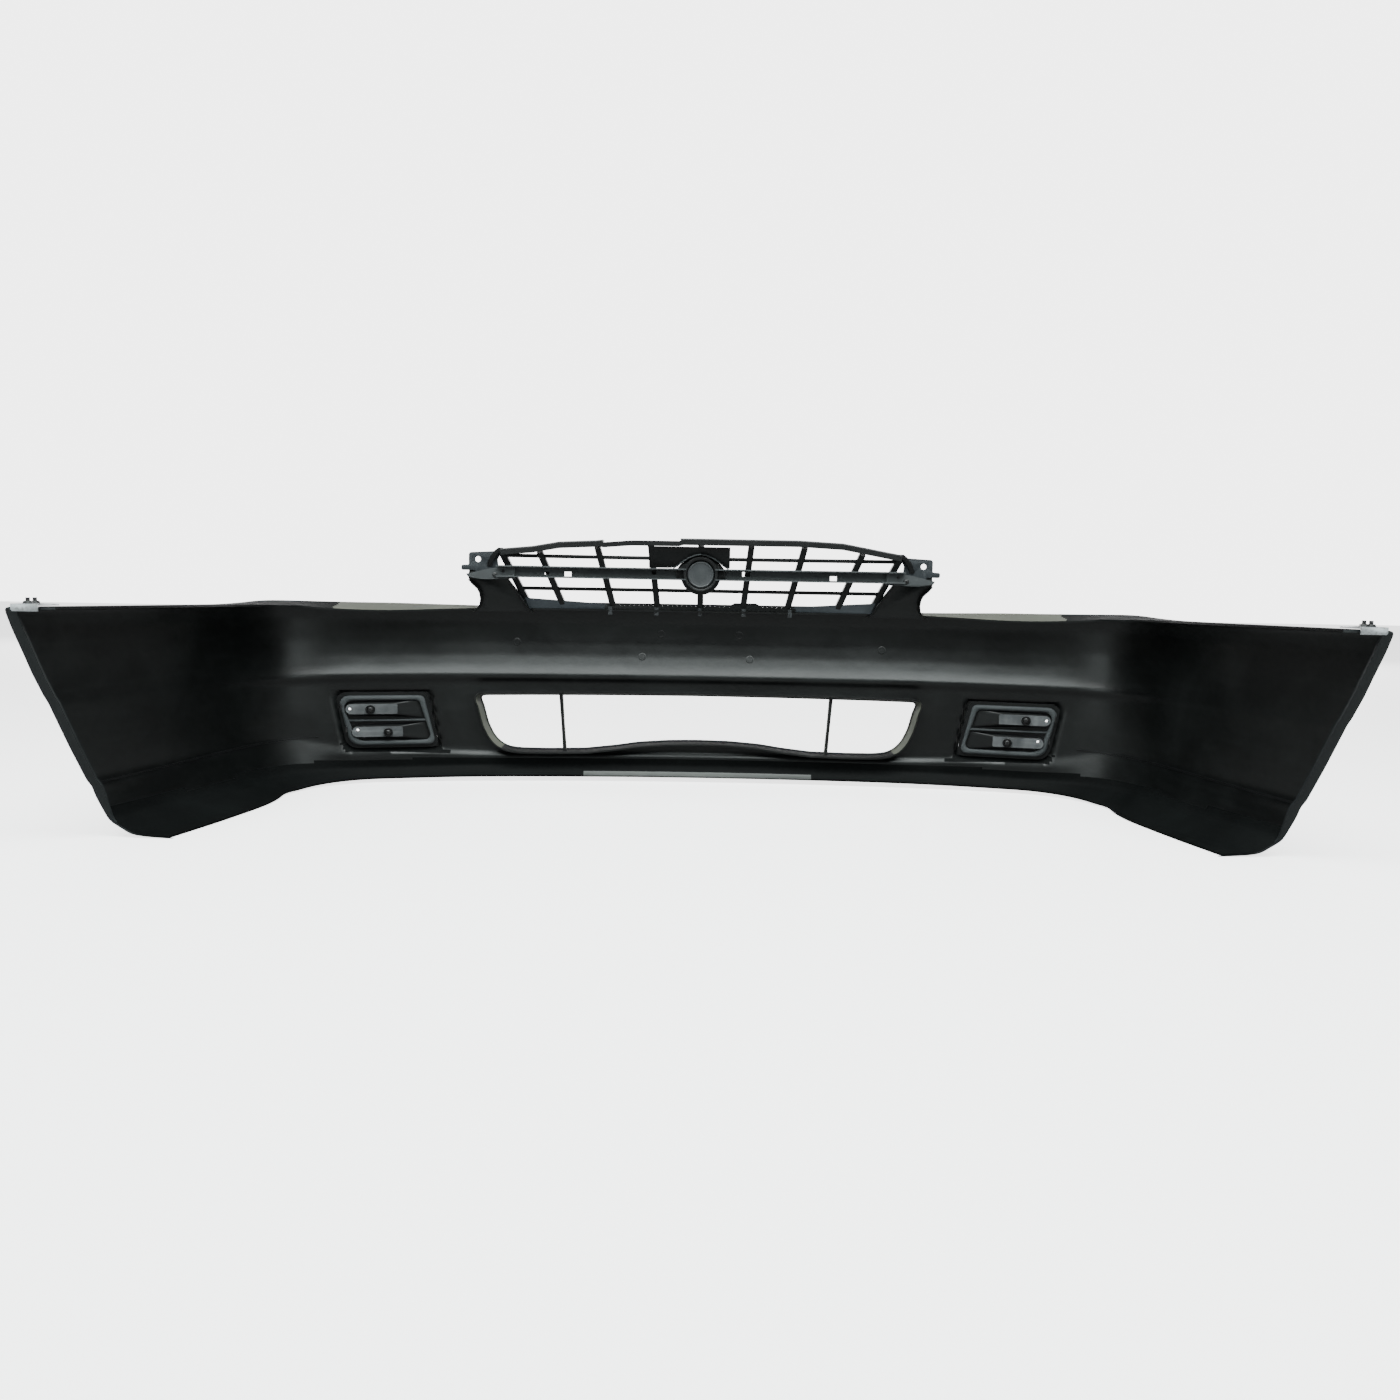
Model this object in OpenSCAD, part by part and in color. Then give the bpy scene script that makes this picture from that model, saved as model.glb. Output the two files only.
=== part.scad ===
// Front bumper cover with integral grille carrier, seen and used from its inner side.
// Frame: X across the car (+X is the car's left), -Y towards the street, +Z up.
// Origin: middle of the bounding box in plan, at the lower edge.  Units: mm.

/* [Overall] */
// half width at the wing tips
half_width = 850; // [700:1000]
// front-to-back length along the wings
depth = 640; // [500:800]
// height of the top crest above the lower edge
crest_z = 316; // [260:380]
// moulded wall thickness
wall = 3.2; // [2.5:0.1:5]

/* [Lower intake] */
// half width of the intake at its top corner
intake_half = 393; // [300:450]
// top edge of the intake
intake_top = 154.5; // [130:0.5:170]
// lower edge of the intake at its ends
intake_low = 58; // [50:70]
// how far the lower edge rises at the middle
intake_rise = 17; // [0:30]
// collar depth behind the skin
intake_collar = 26; // [10:50]
// distance of each thin strut from the middle at its top
strut_x = 244.5; // [150:0.5:320]
// strut width
strut_w = 6; // [4:10]

/* [Fog pockets] */
// pocket centre across
fog_x = 549; // [500:600]
// pocket centre height
fog_z = 110; // [90:130]
// cover width
fog_w = 168; // [140:200]
// cover height
fog_h = 90; // [70:120]
// plan angle of the pocket
fog_turn = 14; // [5:25]

/* [Grille] */
// half width of the grille opening at the posts
grille_half = 338; // [300:380]
// top of the grille rail at the middle
grille_top = 438; // [400:460]
// slat width
slat_w = 9.5; // [5:0.5:12]
// slat depth front to back
slat_d = 15; // [8:25]
// crossbar lower and upper height
bar_lo = 366; // [355:372]
// crossbar upper edge
bar_hi = 386; // [378:395]
// emblem ring radius
emblem_r = 30; // [20:40]

/* [Fixings] */
// stud radius at the wing tips
stud_r = 3; // [2.5:0.5:4]
// radius of the stud's plain leading end
stud_end_r = 2.4; // [1.8:0.1:2.8]
// upper bracket hole radius
bracket_hole_r = 5; // [3:7]

/* [Hidden] */
$fn = 32;

y0 = -depth / 2 - 1;
kx = half_width / 850;
ky = depth / 640;

// ---- plan curve of the widest line, centre to wing tip: [across, behind the nose]
plan = [
  [0, 0], [200, 6], [400, 24], [540, 50], [640, 82], [706, 126],
  [742, 186], [761, 268], [786, 400], [817, 530], [847, 640]
];

// ---- section rows, lower lip to shelf: heights, then insets, at centre, lamp, corner, wing, tip;
//      last value is how far along the plan (0..10) the row ends at the wheel arch.
rows = [
  [[8, 6, 2, 0, 0], [30, 26, 62, 88, 94], 8.72],
  [[11, 9, 5, 3, 2], [24, 20, 54, 80, 14], 8.80],
  [[26, 24, 22, 24, 21], [11, 9, 18, 26, -2], 8.84],
  [[43, 46, 56, 60, 60], [14, 12, 8, 8, -1], 8.95],
  [[49, 59, 75, 74, 74], [9, 8, 3, 3, 3], 8.99],
  [[56, 66, 81, 80, 80], [8, 7, 0, -1, 0], 9.02],
  [[120, 122, 126, 130, 130], [10, 8, 4, 0, 0], 9.24],
  [[182, 181, 180, 183, 185], [10, 9, 5, 1, 0], 9.47],
  [[189, 188, 187, 190, 193], [19, 17, 11, 1, 0], 9.5],
  [[194, 193, 192, 197, 200], [16, 14, 8.5, 0, -1], 9.54],
  [[207, 206, 205, 210, 212], [11, 9.5, 5, -1, -1.5], 9.59],
  [[227, 226, 226, 228, 230], [5.5, 5, 2, -2.5, -2], 9.67],
  [[252, 252, 252, 254, 256], [2, 2, 0, -3.5, -2], 9.77],
  [[290, 292, 294, 290, 288], [2.5, 3, 3, -1, -2], 9.9],
  [[310, 314, 316, 308, 307], [12, 11, 10, 6, -1], 9.97],
  [[316, 320, 322, 315, 315], [18, 17, 16, 12, 0], 10],
  [[312, 306, 313, 315, 315], [38, 66, 72, 50, 44], 9.86]
];
NR = len(rows);
NS = 40;

// ---- small maths
function mix(a, b, t) = a + (b - a) * t;
function ease(t) = t * t * (3 - 2 * t);
function clampi(i, n) = min(max(i, 0), n);
function unit(v) = v / max(norm(v), 1e-9);
function spline(p, u) =
  let (n = len(p) - 1, i = clampi(floor(u), n - 1), t = u - i,
       b = p[i], c = p[i + 1],
       a = i > 0 ? p[i - 1] : [-p[1][0], p[1][1]],
       d = i < n - 1 ? p[i + 2] : 2 * c - b)
  0.5 * (2 * b + (c - a) * t + (2 * a - 5 * b + 4 * c - d) * t * t
    + (3 * b - a - 3 * c + d) * t * t * t);
function plan_at(u) = let (q = spline(plan, u)) [q[0] * kx, q[1] * ky];
function plan_in(u) =
  let (t = unit(plan_at(u + 0.02) - plan_at(max(u - 0.02, 0))))
  [-t[1], t[0]];
KN = [0, 1.55, 3.2, 5.6, 7.4, 10];
function pick(v, u) =
  u < KN[1] ? v[0] :
  u < KN[2] ? mix(v[0], v[1], ease((u - KN[1]) / (KN[2] - KN[1]))) :
  u < KN[3] ? mix(v[1], v[2], ease((u - KN[2]) / (KN[3] - KN[2]))) :
  u < KN[4] ? mix(v[2], v[3], ease((u - KN[3]) / (KN[4] - KN[3]))) :
  mix(v[3], v[4], min((u - KN[4]) / (KN[5] - KN[4]), 1));
function row_u(r, s) = s <= 7 ? s : 7 + (s - 7) * (rows[r][2] - 7) / 3;
// point on the outer face: r is the row, s runs 0..10 along the plan
function skin_pt(r, s) =
  let (u = row_u(r, s), p = plan_at(u), n = plan_in(u), k = pick(rows[r][1], u))
  [p[0] + n[0] * k, y0 + p[1] + n[1] * k, pick(rows[r][0], u) * crest_z / 316];
// station i in -NS-1..NS+1: the last one is the turned-in wheel-arch flange
function station(r, i) =
  let (a = abs(i), s = min(a, NS) * 10 / NS, q = skin_pt(r, s),
       f = a > NS ? [r < 3 ? -6 : -15, r < 3 ? 0 : 1.5, 0] : [0, 0, 0],
       g = q + f)
  i < 0 ? [-g[0], g[1], g[2]] : g;
function grid_normal(r, i) =
  let (e = station(r, clampi(i + 1 + NS + 1, 2 * NS + 2) - NS - 1)
         - station(r, clampi(i - 1 + NS + 1, 2 * NS + 2) - NS - 1),
       v = station(clampi(r + 1, NR - 1), i) - station(clampi(r - 1, NR - 1), i))
  unit(cross(v, e));
NI = 2 * NS + 3;
function gp(r, k) = r * NI + k;

module skin() {
  outer = [for (r = [0:NR - 1]) for (i = [-NS - 1:NS + 1]) station(r, i)];
  inner = [for (r = [0:NR - 1]) for (i = [-NS - 1:NS + 1])
    let (q = station(r, i) + wall * grid_normal(r, i)) [q[0], q[1], max(q[2], 0.2)]];
  o = NR * NI;
  polyhedron(
    points = concat(outer, inner),
    faces = concat(
      [for (r = [0:NR - 2]) for (k = [0:NI - 2]) each [
        [gp(r, k), gp(r + 1, k + 1), gp(r, k + 1)],
        [gp(r, k), gp(r + 1, k), gp(r + 1, k + 1)],
        [o + gp(r, k), o + gp(r, k + 1), o + gp(r + 1, k + 1)],
        [o + gp(r, k), o + gp(r + 1, k + 1), o + gp(r + 1, k)]]],
      [for (k = [0:NI - 2]) each [
        [gp(0, k), gp(0, k + 1), o + gp(0, k + 1)],
        [gp(0, k), o + gp(0, k + 1), o + gp(0, k)],
        [gp(NR - 1, k), o + gp(NR - 1, k + 1), gp(NR - 1, k + 1)],
        [gp(NR - 1, k), o + gp(NR - 1, k), o + gp(NR - 1, k + 1)]]],
      [for (r = [0:NR - 2]) each [
        [gp(r, 0), o + gp(r, 0), o + gp(r + 1, 0)],
        [gp(r, 0), o + gp(r + 1, 0), gp(r + 1, 0)],
        [gp(r, NI - 1), o + gp(r + 1, NI - 1), o + gp(r, NI - 1)],
        [gp(r, NI - 1), gp(r + 1, NI - 1), o + gp(r + 1, NI - 1)]]]),
    convexity = 12);
}

// front face position at a given x and z, for the parts that follow the skin
function u_of_x(x, lo = 0, hi = 8, n = 16) =
  n == 0 ? (lo + hi) / 2 :
  let (m = (lo + hi) / 2)
  plan_at(m)[0] < abs(x) ? u_of_x(x, m, hi, n - 1) : u_of_x(x, lo, m, n - 1);
function inset_at(z, u) =
  let (r = [for (q = [3:NR - 3])
    if (z >= pick(rows[q][0], u) && z < pick(rows[q + 1][0], u)) q],
    a = len(r) ? r[0] : 3,
    t = (z - pick(rows[a][0], u)) / max(pick(rows[a + 1][0], u) - pick(rows[a][0], u), 1))
  mix(pick(rows[a][1], u), pick(rows[a + 1][1], u), min(max(t, 0), 1));
function skin_y(x, z) =
  let (u = u_of_x(x)) y0 + plan_at(u)[1] + inset_at(z, u);

// ---- loops, as [x, z]
function ring_pts(c, r, a0, a1, n = 5) =
  [for (k = [0:n]) let (a = mix(a0, a1, k / n)) c + r * [cos(a), sin(a)]];
function half_intake() = [
  [0, intake_low + intake_rise], [55, intake_low + intake_rise - 1],
  [110, intake_low + intake_rise - 5], [150, intake_low + 6], [205, intake_low],
  [270, intake_low - 1], [322, intake_low], [343, intake_low + 3],
  [358, intake_low + 11], [370, intake_low + 25], [380, intake_low + 47],
  [intake_half - 5, intake_top - 16],
  [intake_half + 1, intake_top - 3], [intake_half - 3, intake_top],
  [300, intake_top + 1], [140, intake_top + 2]];
intake_loop = concat(
  half_intake(),
  [[0, intake_top + 2.5]],
  [for (k = [len(half_intake()) - 1:-1:1]) [-half_intake()[k][0], half_intake()[k][1]]]);

function turn_len(p) = len(p);
function loop_normal(p, k) =
  let (n = len(p), a = p[(k + n - 1) % n], b = p[(k + 1) % n], t = unit(b - a))
  [t[1], -t[0]];
function grow(p, d) = [for (k = [0:len(p) - 1]) p[k] + d * loop_normal(p, k)];

// thin tube behind the skin around a loop, flaring outwards
module collar(loop, front, back, flare, t) {
  n = len(loop);
  a = grow(loop, 0);
  b = grow(loop, flare);
  c = grow(loop, flare + t);
  d = grow(loop, t);
  function py(p, e) = skin_y(p[0], p[1]) + e;
  pts = concat(
    [for (k = [0:n - 1]) [a[k][0], py(loop[k], front), a[k][1]]],
    [for (k = [0:n - 1]) [b[k][0], py(loop[k], back), b[k][1]]],
    [for (k = [0:n - 1]) [c[k][0], py(loop[k], back), c[k][1]]],
    [for (k = [0:n - 1]) [d[k][0], py(loop[k], front), d[k][1]]]);
  faces = [for (g = [0:3]) for (k = [0:n - 1])
    let (h = (g + 1) % 4, m = (k + 1) % n)
    each [[g * n + k, h * n + m, g * n + m], [g * n + k, h * n + k, h * n + m]]];
  polyhedron(points = pts, faces = faces, convexity = 10);
}

module cut_loop(loop, lo, hi) {
  translate([0, hi, 0])
    rotate([90, 0, 0])
      linear_extrude(hi - lo)
        polygon(loop);
}

// fog pocket outline about its own centre, outboard is +x
function fog_loop(g = 0) =
  let (w = fog_w / 2 + g, h = fog_h / 2 + g)
  concat(
    ring_pts([-w + 14.5, -h + 9], 9, 180, 270),
    ring_pts([w - 34, -h + 22], 22, 270, 360),
    ring_pts([w - 13.5, h - 15], 14, 0, 90),
    ring_pts([-w + 31, h - 10], 9, 90, 180));
function fog_world(g = 0) =
  [for (p = fog_loop(g)) [fog_x + p[0] * cos(fog_turn), fog_z + p[1]]];
fog_y = skin_y(fog_x, fog_z) + wall;

module side(sgn) {
  if (sgn > 0) {
    children();
  } else {
    mirror([1, 0, 0])
      children();
  }
}

module block(a, b, s) {
  hull() {
    translate(a)
      cube(s, center = true);
    translate(b)
      cube(s, center = true);
  }
}

// ---- grille plane
function gy(x, z) = y0 + 30 + (z - 312) * 0.36 + 26 * pow(x / 340, 2);

pad_y = gy(372, 368) + 2;
// post plate, one side: from the shelf up to the bracket
module post() {
  prof = [
    [296, 306], [301, 310], [315, 332], [334, 360], [338, 366],
    [403, 366], [402, 361], [395, 352], [388, 345], [385, 338], [384, 328],
    [386, 318], [391, 311], [400, 305.8]];
  intersection() {
    translate([0, y0 + 130, 0])
      rotate([90, 0, 0])
        linear_extrude(130)
          polygon(prof);
    hull() {
      for (x = [280, 420])
        for (z = [298, 380])
          translate([x, gy(x, z) + (x > 300 ? 2 : 0), z])
            cube([1, 3.4, 1], center = true);
    }
  }
  // upright pad that carries the upper bracket
  translate([371, pad_y, 370])
    cube([66, 3.4, 16], center = true);
  // stiffening webs that turn the plate's edges towards the inside
  block([335, gy(335, 360) + 8, 360], [316, gy(316, 332) + 8, 333], [3, 16, 3]);
  block([316, gy(316, 332) + 8, 333], [300, gy(300, 311) + 8, 311], [3, 16, 3]);
  block([399, gy(399, 361) + 7, 361], [384, gy(384, 338) + 9, 336], [3, 16, 3]);
}

module strut(sgn) {
  x = strut_x + 4.5 * sgn;
  side(sgn)
    block([x, skin_y(x, intake_top) + 9, intake_top + 6],
      [x - 7, skin_y(x, intake_low) + 9, intake_low - 4],
      [strut_w, 10, 3]);
}

module clip_hole(s, up) {
  p = skin_pt(1, s);
  q = skin_pt(2, s);
  m = mix(p, q, up);
  translate(m)
    rotate([0, 40, 0])
      cylinder(r = 3.5, h = 30, center = true, $fn = 16);
}

module fascia() {
  color([0.07, 0.075, 0.08])
    union() {
      strut(1);
      strut(-1);
      difference() {
        union() {
        skin();
        collar(intake_loop, 0.8, intake_collar, 5, wall);
        for (sg = [-1, 1])
          side(sg) {
            collar(fog_world(2.5), 0.8, 15, 1.5, wall);
            post();
          }
        // raised tab on the upper edge, car's right
        block([-50, y0 + 27, 312], [-58, y0 + 28, 326], [18, 3.2, 4]);
        block([-58, y0 + 27, 312], [-104, y0 + 28, 312], [18, 3.2, 4]);
        block([-58, y0 + 28, 319], [-104, y0 + 28, 319], [18, 3.2, 18]);
      }
      cut_loop(grow(intake_loop, -0.7), y0 - 20, y0 + 46);
      for (sg = [-1, 1])
        side(sg) {
          cut_loop(fog_world(1.8), y0 - 20, y0 + 110);
          clip_hole(7.0, 0.5);
          clip_hole(9.0, 0.5);
        }
      }
    }
}

// ---- grille
slat_top = [0, 88, 181, 281];
slat_bot = [0, 77, 156, 244];
function rail_z(x) = let (a = abs(x)) grille_top - (a < 170 ? 0.5 * a / 170
  : a < 245 ? 0.5 + 4 * (a - 170) / 75 : 4.5 + 18.5 * (a - 245) / 100);

module grille_lattice() {
  color([0.06, 0.065, 0.07])
    for (sg = [-1, 1])
      side(sg) {
        for (k = [sg > 0 ? 0 : 1:3])
          block(
            [slat_bot[k], gy(slat_bot[k], 318) - slat_d / 2, 318],
            [slat_top[k], gy(slat_top[k], rail_z(slat_top[k]) - 12) - slat_d / 2,
              rail_z(slat_top[k]) - 12],
            [slat_w, slat_d, 2]);
        // side stile beside the post
        block([304, gy(304, 318) - 8, 318], [344, gy(344, 408) - 8, 408], [6, 14, 3]);
        for (z = [322, 347.5, 403.5])
          for (k = [0:3]) {
            e = mix(304, 344, (z - 318) / 90);
            block([k * e / 4, gy(k * e / 4, z) - 6, z],
              [(k + 1) * e / 4, gy((k + 1) * e / 4, z) - 6, z], [3, z == 322 ? 12 : 9, z == 322 ? 4 : 5]);
          }
      }
}

module grille_top_rail() {
  n = 14;
  xs = [for (k = [0:n]) mix(-344, 344, k / n)];
  color([0.07, 0.075, 0.08])
    difference() {
      union() {
        for (k = [0:n - 1]) {
          a = xs[k];
          b = xs[k + 1];
          // upper face, running back from the street side
          block([a, gy(a, rail_z(a)) - 6, rail_z(a) - 1.5],
            [b, gy(b, rail_z(b)) - 6, rail_z(b) - 1.5], [1, 30, 3]);
          // turned-down inner lip
          block([a, gy(a, rail_z(a)) + 8, rail_z(a) - 6],
            [b, gy(b, rail_z(b)) + 8, rail_z(b) - 6], [1, 3, 10]);
        }
      }
      // notch in the inner lip, car's left of centre
      translate([38, gy(100, grille_top) + 2, grille_top - 4.5])
        cube([130, 20, 20]);
    }
}

// thickness of the crossbar's lapped ends
end_t = 2.6;

module grille_crossbar() {
  n = 12;
  xs = [for (k = [0:n]) mix(-350, 350, k / n)];
  zc = (bar_lo + bar_hi) / 2;
  h = bar_hi - bar_lo;
  color([0.2, 0.21, 0.22])
    difference() {
      union() {
        for (k = [0:n - 1]) {
          a = xs[k];
          b = xs[k + 1];
          block([a, gy(a, zc) + 7, zc], [b, gy(b, zc) + 7, zc], [1, 3, h]);
          block([a, gy(a, zc) + 15, bar_hi - 1.3], [b, gy(b, zc) + 15, bar_hi - 1.3], [1, 18, 2.6]);
          block([a, gy(a, zc) + 15, bar_lo + 1.3], [b, gy(b, zc) + 15, bar_lo + 1.3], [1, 18, 2.6]);
        }
        for (x = [-330, -292, -262, -212, -182, -34, 34, 182, 212, 262, 292, 330])
          translate([x, gy(x, zc) + 13, zc])
            cube([2.4, 13, h - 1], center = true);
        translate([0, gy(0, zc) + 8, zc])
          rotate([90, 0, 0])
            cylinder(r = emblem_r + 5, h = 5, center = true, $fn = 48);
        // pointed ends that lap over the bracket feet
        for (sg = [-1, 1])
          side(sg)
            translate([0, pad_y + 4.85 + end_t, 0])
              rotate([90, 0, 0])
                linear_extrude(end_t)
                  polygon([[347.5, 362.5], [378, 361.5], [402, 365.5], [405, 370.5], [371, 379],
                    [347.5, 383.5]]);
      }
      for (sg = [-1, 1])
        side(sg)
          for (x = [356, 392])
            translate([x, pad_y + 6, 369])
              rotate([90, 0, 0])
                cylinder(r = 2.7, h = 12, center = true, $fn = 20);
      for (x = [-232, 232])
        translate([x, gy(x, zc) + 8, zc - 3])
          cube([12, 20, 8], center = true);
      translate([82, gy(82, zc) + 8, zc + 3])
        rotate([90, 0, 0])
          cylinder(r = 4.4, h = 30, center = true, $fn = 20);
      translate([-80, gy(80, zc) + 8, zc + 2])
        cube([14, 20, 8], center = true);
      translate([0, gy(0, zc), zc])
        rotate([90, 0, 0])
          cylinder(r = emblem_r - 3, h = 60, center = true, $fn = 48);
      for (x = [-342, 342])
        translate([x, gy(x, zc) + 8, zc])
          rotate([90, 0, 0])
            cylinder(r = 2.8, h = 20, center = true, $fn = 20);
    }
}

module emblem_backing_panel() {
  color([0.03, 0.03, 0.03])
    difference() {
      hull() {
        for (x = [-51, 91])
          for (z = [bar_hi + 1, 423])
            translate([x, gy(0, z) + 3.2, z])
              cube([1, 2.4, 1], center = true);
      }
      translate([0, gy(0, 376), (bar_lo + bar_hi) / 2])
        rotate([90, 0, 0])
          cylinder(r = emblem_r + 8, h = 80, center = true);
    }
}

ec = [0, gy(0, 376) + 12, (bar_lo + bar_hi) / 2];

module emblem_bezel() {
  color([0.1, 0.105, 0.11])
    translate(ec)
      rotate([90, 0, 0])
        difference() {
          union() {
            translate([0, 0, -8])
              cylinder(r = emblem_r - 3.4, h = 16);
            translate([0, 0, -11])
              cylinder(r = emblem_r + 1, h = 11 - 3.2);
          }
          translate([0, 0, -12])
            cylinder(r = emblem_r - 6.4, h = 30);
        }
}

module emblem_blank() {
  color([0.35, 0.36, 0.37])
    translate(ec)
      rotate([90, 0, 0])
        difference() {
          translate([0, 0, -8])
            cylinder(r = emblem_r - 6.6, h = 20);
          translate([0, 0, -9])
            cylinder(r = emblem_r - 9, h = 3);
        }
}

// upper bracket: tab bolted to the post, with a mounting hole
module grille_bracket(sgn) {
  color([0.42, 0.46, 0.5])
    side(sgn)
      translate([0, pad_y + 4.8, 0])
        rotate([90, 0, 0])
          difference() {
            linear_extrude(3)
              polygon([[348, 364], [402, 364], [402, 377], [415, 377], [415, 386], [402, 386], [402, 404],
                [400, 408], [346, 411], [352, 396]]);
            translate([386, 396, -1])
              cylinder(r = bracket_hole_r, h = 5);
            translate([392, 369, -1])
              cylinder(r = 2.7, h = 5);
            translate([356, 369, -1])
              cylinder(r = 2.7, h = 5);
          }
}

module screw(r, hr, len, hh) {
  translate([0, 0, 0])
    cylinder(r = hr, h = hh);
  translate([0, 0, -len])
    cylinder(r = r, h = len + 0.5);
}

module grille_bracket_screws() {
  color([0.16, 0.16, 0.17])
    for (sg = [-1, 1])
      side(sg)
        for (x = [356, 392])
          translate([x, pad_y + 4.9 + end_t, 369])
            rotate([-90, 0, 0])
              screw(2.5, 5, 2.9 + end_t, 3);
}

module crossbar_screws() {
  zc = (bar_lo + bar_hi) / 2;
  color([0.16, 0.16, 0.17])
    for (sg = [-1, 1])
      side(sg)
        translate([342, gy(342, zc) + 8.7, zc])
          rotate([-90, 0, 0])
            screw(2.4, 5, 3.2, 3);
}

module grille_sill_clips() {
  color([0.3, 0.31, 0.32])
    for (x = [-160, -78, 0, 78, 160])
      translate([x, y0 + 31 + 14 * pow(x / 200, 2), 310])
        difference() {
          cube([7, 9, 14], center = true);
          translate([0, -1.5, -3])
            cube([8, 4.2, 14], center = true);
        }
}

// ---- fog covers: frame, divider and two tapered trays, with two screw bosses
module fog_place(sgn) {
  side(sgn)
    translate([fog_x, fog_y + 4, fog_z])
      rotate([0, 0, fog_turn])
        rotate([90, 0, 0])
          children();
}

module tray(zc, x0, x1, h0, w) {
  difference() {
    hull() {
      translate([0, 0, 4])
        linear_extrude(0.5)
          polygon([[-w, zc - h0], [w, zc - h0], [w, zc + h0], [-w, zc + h0]]);
      translate([0, 0, -8])
        linear_extrude(0.5)
          polygon([[x0, zc - 9], [x1, zc - 9], [x1, zc + 9], [x0, zc + 9]]);
    }
    hull() {
      translate([0, 0, 4.1])
        linear_extrude(0.5)
          polygon([[-w + 2, zc - h0 + 2], [w - 2, zc - h0 + 2], [w - 2, zc + h0 - 2],
            [-w + 2, zc + h0 - 2]]);
      translate([0, 0, -5.5])
        linear_extrude(0.5)
          polygon([[x0 + 2, zc - 7.5], [x1 - 2, zc - 7.5], [x1 - 2, zc + 7.5],
            [x0 + 2, zc + 7.5]]);
    }
  }
}

module fog_cover(sgn) {
  bosses = [[32, 20], [2, -21]];
  color([0.1, 0.105, 0.11])
    fog_place(sgn)
      difference() {
        union() {
          difference() {
            linear_extrude(8)
              polygon(fog_loop(-0.5));
            translate([0, 0, -1])
              linear_extrude(10)
                polygon(fog_loop(-6));
          }
          translate([-fog_w / 2 + 16, -2.5, 0])
            cube([fog_w - 25, 5, 8]);
          intersection() {
            union() {
              tray(22, -14, 74, 22, 80);
              tray(-22, -23, 64, 22, 80);
            }
            translate([0, 0, -20])
              linear_extrude(40)
                polygon(fog_loop(-4));
          }
          for (b = bosses)
            translate([b[0], b[1], -12])
              cylinder(r = 8, h = 8);
        }
        for (b = bosses)
          translate([b[0], b[1], -14])
            cylinder(r = 3.1, h = 30);
        translate([54, -17, -14])
          cylinder(r = 3, h = 30);
      }
}

module fog_cover_screws(sgn) {
  color([0.02, 0.02, 0.02])
    fog_place(sgn)
      for (b = [[32, 20], [2, -21]])
        translate([b[0], b[1], -12.05])
          rotate([180, 0, 0])
            screw(2.8, 6, 10, 2.5);
}

module fog_cover_clips(sgn) {
  color([0.45, 0.46, 0.47])
    fog_place(sgn)
      for (p = [[fog_w / 2 - 11.4, -15], [fog_w / 2 - 2.8, 24]])
        translate([p[0], p[1], -5.2])
          cube([2.2, 10, 10], center = true);
}

// ---- wing tips
tip = [824, y0 + 622, 316.6];
stud_gap = 14;

module wing_bracket(sgn) {
  color([0.62, 0.64, 0.66])
    side(sgn)
      difference() {
        union() {
          translate([tip[0] - 22, tip[1] - 20, tip[2]])
            cube([33, 42, 2.2]);
          translate([tip[0] - 22, tip[1] + 21.8, tip[2] - 7])
            cube([33, 2.2, 9.2]);
        }
        for (y = [-stud_gap / 2, stud_gap / 2])
          translate([tip[0], tip[1] + y, tip[2] - 1])
            cylinder(r = stud_r + 0.3, h = 5);
      }
}

module wing_studs(sgn) {
  color([0.1, 0.1, 0.11])
    side(sgn)
      for (y = [-stud_gap / 2, stud_gap / 2])
        translate([tip[0], tip[1] + y, tip[2] + 0.1])
          union() {
            cylinder(r = stud_r, h = 5.6);
            cylinder(r = stud_end_r, h = 9.6);
          }
}

module wing_stud_nuts(sgn) {
  color([0.12, 0.12, 0.13])
    side(sgn)
      for (y = [-stud_gap / 2, stud_gap / 2])
        translate([tip[0], tip[1] + y, tip[2] + 2.3])
          difference() {
            union() {
              cylinder(r = 6, h = 1);
              cylinder(r = 5.4, h = 3.1, $fn = 6);
            }
            translate([0, 0, -1])
              cylinder(r = stud_r + 0.05, h = 9);
          }
}

fascia();
grille_lattice();
grille_top_rail();
grille_crossbar();
emblem_backing_panel();
emblem_bezel();
emblem_blank();
grille_bracket(1);  // grille_bracket_left
grille_bracket(-1);  // grille_bracket_right
grille_bracket_screws();
crossbar_screws();
grille_sill_clips();
fog_cover(1);  // fog_cover_left
fog_cover(-1);  // fog_cover_right
fog_cover_screws(1);  // fog_cover_screws_left
fog_cover_screws(-1);  // fog_cover_screws_right
fog_cover_clips(1);  // fog_cover_clips_left
fog_cover_clips(-1);  // fog_cover_clips_right
wing_bracket(1);  // wing_bracket_left
wing_bracket(-1);  // wing_bracket_right
wing_studs(1);  // wing_studs_left
wing_studs(-1);  // wing_studs_right
wing_stud_nuts(1);  // wing_stud_nuts_left
wing_stud_nuts(-1);  // wing_stud_nuts_right
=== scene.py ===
"""Looks for a front bumper cover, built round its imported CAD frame.

Units are metres.  X runs across the car (+X is the car's left), -Y points to the
street and +Z is up.  The cover is looked at from its inner side.
"""

from __future__ import annotations

import logging  # noqa: E402
import math  # noqa: E402
from dataclasses import dataclass, field  # noqa: E402
from enum import Enum  # noqa: E402
from typing import Callable, Iterable, Sequence  # noqa: E402

import bmesh  # noqa: E402
import bpy  # noqa: E402
import numpy as np  # noqa: E402
from mathutils import Euler, Matrix, Vector  # noqa: E402


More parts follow.
